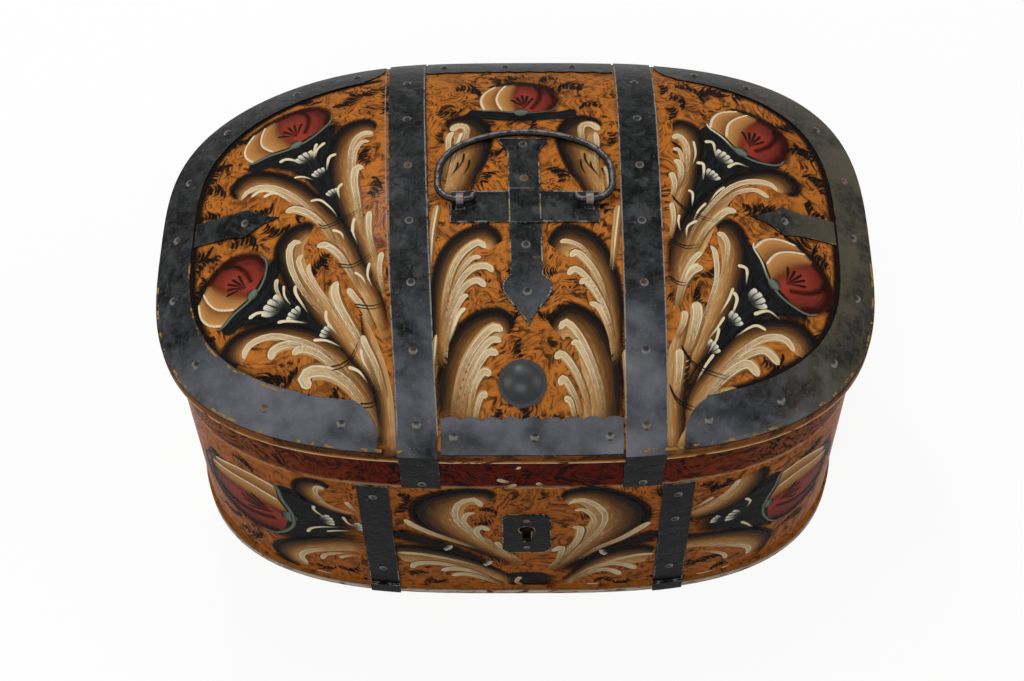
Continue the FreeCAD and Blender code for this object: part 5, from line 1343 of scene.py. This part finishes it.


# Painted shadow along the inner edges of the side bands, and the iron's rubbed edges and chips
def shadeBandEdges(brush):
    even = {"tail": 1.0, "headShare": 0.02}
    # Painted shadow: a soft dark stroke and a thin dark line along each band's inner edge
    for start, end in bandEdges["shadowTurns"]:
        spots = outlineRun(start, end, bandEdges["shadowInset"], bandEdges["shadowSteps"])
        brush.draw("shade", spots, 9.0, rows=80, columns=6, **even)
        brush.draw("line", spots, 1.5, rows=120, columns=2, **even)
    for spots in bandEdges["strapLines"]:
        brush.draw("rub", spots, 1.1, rows=60, columns=2, **even)
    for start, end, inset, width in bandEdges["ochreTurns"]:
        spots = outlineRun(start, end, inset, bandEdges["ochreSteps"])
        brush.draw("ochreRub", spots, width, rows=80, columns=2, **even)


lidBrush = Brush("lid", "lid", onLid)
shadeBandEdges(lidBrush)
paintLeftPanel(lidBrush)
paintCentrePanel(lidBrush)
paintRightPanel(lidBrush)
paintSideFerns(lidBrush)
lidBrush.finish()
print("lid painted")

edgeRub = {
    "width": 0.0009, "lift": 0.00004, "back": 0.03, "sharp": math.radians(38), "merge": 0.00001, "digits": 6,
    "faceUp": 1.2, "steep": 0.6, "outermost": 0.55,
    "pale": {"lid": ("handle_cross_bar", "handle_upright"),
             "body": ("front_strap_left", "front_strap_right", "lock_plate", "rear_strap_left",
                      "rear_strap_right")},
    "warm": {"lid": ("edge_band_left", "edge_band_right", "edge_band_front", "edge_band_back",
                     "lid_strap_left", "lid_strap_right", "side_strap_left", "side_strap_right")},
}


# How far a face looks outwards: up, or away from the box's middle
def outwardShare(face):
    middle = face.calc_center_median()
    flat = (middle * Vector(outside["fromMiddle"])).normalized()
    away = flat.dot(face.normal) if abs(face.normal.z) < edgeRub["steep"] else 0.0
    return max(face.normal.z * edgeRub["faceUp"], away)


def placeKey(co):
    return tuple(round(value, edgeRub["digits"]) for value in co)


# A narrow strip along the sharp outer edges of an iron plate, where black paint has rubbed off
def rubPlateEdges(name, material, body):
    bm = bmesh.new()
    bm.from_mesh(nodes[name].data)
    bmesh.ops.remove_doubles(bm, verts=bm.verts, dist=edgeRub["merge"])
    bm.normal_update()
    inward, upward, keep = {}, {}, []
    for edge in bm.edges:
        if len(edge.link_faces) != 2 or edge.calc_face_angle(0.0) < edgeRub["sharp"]:
            continue
        top = max(edge.link_faces, key=outwardShare)
        if outwardShare(top) < edgeRub["outermost"]:
            continue
        keep.append(edge)
        along = (edge.verts[1].co - edge.verts[0].co).normalized()
        side = top.normal.cross(along)
        if side.dot(top.calc_center_median() - edge.verts[0].co) < 0:
            side = -side
        for vert in edge.verts:
            key = placeKey(vert.co)
            inward.setdefault(key, []).append(side)
            upward.setdefault(key, []).append(top.normal.copy())
    moves = {}
    for key, sides in inward.items():
        lean = sum(sides, Vector()).normalized()
        rise = sum(upward[key], Vector()).normalized()
        moves[key] = (lean * edgeRub["width"], rise * edgeRub["lift"])
    strip = bmesh.ops.extrude_edge_only(bm, edges=keep)["geom"]
    faces = {item for item in strip if isinstance(item, bmesh.types.BMFace)}
    fresh = {item for item in strip if isinstance(item, bmesh.types.BMVert)}
    bmesh.ops.delete(bm, geom=[face for face in bm.faces if face not in faces], context="FACES_ONLY")
    bmesh.ops.delete(bm, geom=[edge for edge in bm.edges if not edge.link_faces], context="EDGES")
    bmesh.ops.delete(bm, geom=[vert for vert in bm.verts if not vert.link_faces], context="VERTS")
    for vert in bm.verts:
        lean, rise = moves[placeKey(vert.co)]
        vert.co = vert.co + rise + (lean if vert in fresh else -lean * edgeRub["back"])
    bm.normal_update()
    bmesh.ops.reverse_faces(bm, faces=[face for face in bm.faces if outwardShare(face) < 0])
    piece = newPiece(name + "_rub", bm, material)
    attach(piece, body)


# Rubbed metal and chips along an edge: mostly pale metal, or mostly ochre and rarer
def makeEdgeRub(name, metal, chips, level):
    material, tree, shader = newMaterial(name, 0.45, 0.1)
    broken = noise(coords(tree), 150, 4, 0.7, 0.3)
    warm = noise(coords(tree), 60, 2, 0.5, 0.2).fade(0.5, 0.6)
    colour = mix(broken.fade(level, level + 0.14, 1.0, 0.0), mix(warm, metal, chips), tint(64, 56, 48))
    feed(tree, shader.inputs["Base Color"], colour)
    feed(tree, shader.inputs["Alpha"], broken.fade(level, level + 0.08, 0.0, 0.75))
    return material


edgeFinishes = {
    "pale": makeEdgeRub("rubbedEdge", tint(150, 149, 146), tint(170, 148, 104), 0.42),
    "warm": makeEdgeRub("chippedEdge", tint(112, 108, 100), tint(186, 140, 66), 0.54),
}
for finish, material in edgeFinishes.items():
    for carrier, plates in edgeRub[finish].items():
        for plate in plates:
            rubPlateEdges(plate, material, carrier)
print("iron edges rubbed")

# Chips down to the pale ground, on the rim and along the foot of the front
rimChips = (
    ([(-12, 171), (-7, 168), (-1, 167)], 4.5), ([(1, 164), (-4, 161), (-9, 160.5)], 4.0),
    ([(15, 166), (19, 162)], 4.0), ([(-60, 203), (-30, 202.5), (-4, 202)], 1.8),
    ([(4, 202.5), (40, 203), (58, 202)], 1.6), ([(-40, 196), (-20, 195), (6, 195)], 1.4),
    ([(20, 195.5), (50, 195)], 1.2), ([(4, 188), (1, 184)], 3.0),
)
footChips = ([(134, 12), (142, 11.5), (150, 12.4)], [(153, 12.6), (160, 13)], [(52, 12), (62, 11.6)],
             [(-150, 12), (-143, 11.6), (-137, 12)])
rimBrush = Brush("rim", "lid", onWall(-1))
for points, width in rimChips:
    rimBrush.draw("cream", points, width, tail=0.6, headShare=0.3)
rimBrush.finish()
frontBrush = Brush("front", "body", onWall(-1))
paintFrontWall(frontBrush)
for points in footChips:
    frontBrush.draw("cream", points, 1.7, tail=0.7, headShare=0.2)
frontBrush.finish()
backBrush = Brush("back", "body", onWall(1), mirrored=True)
paintFrontWall(backBrush)
backBrush.finish()
print("walls painted")
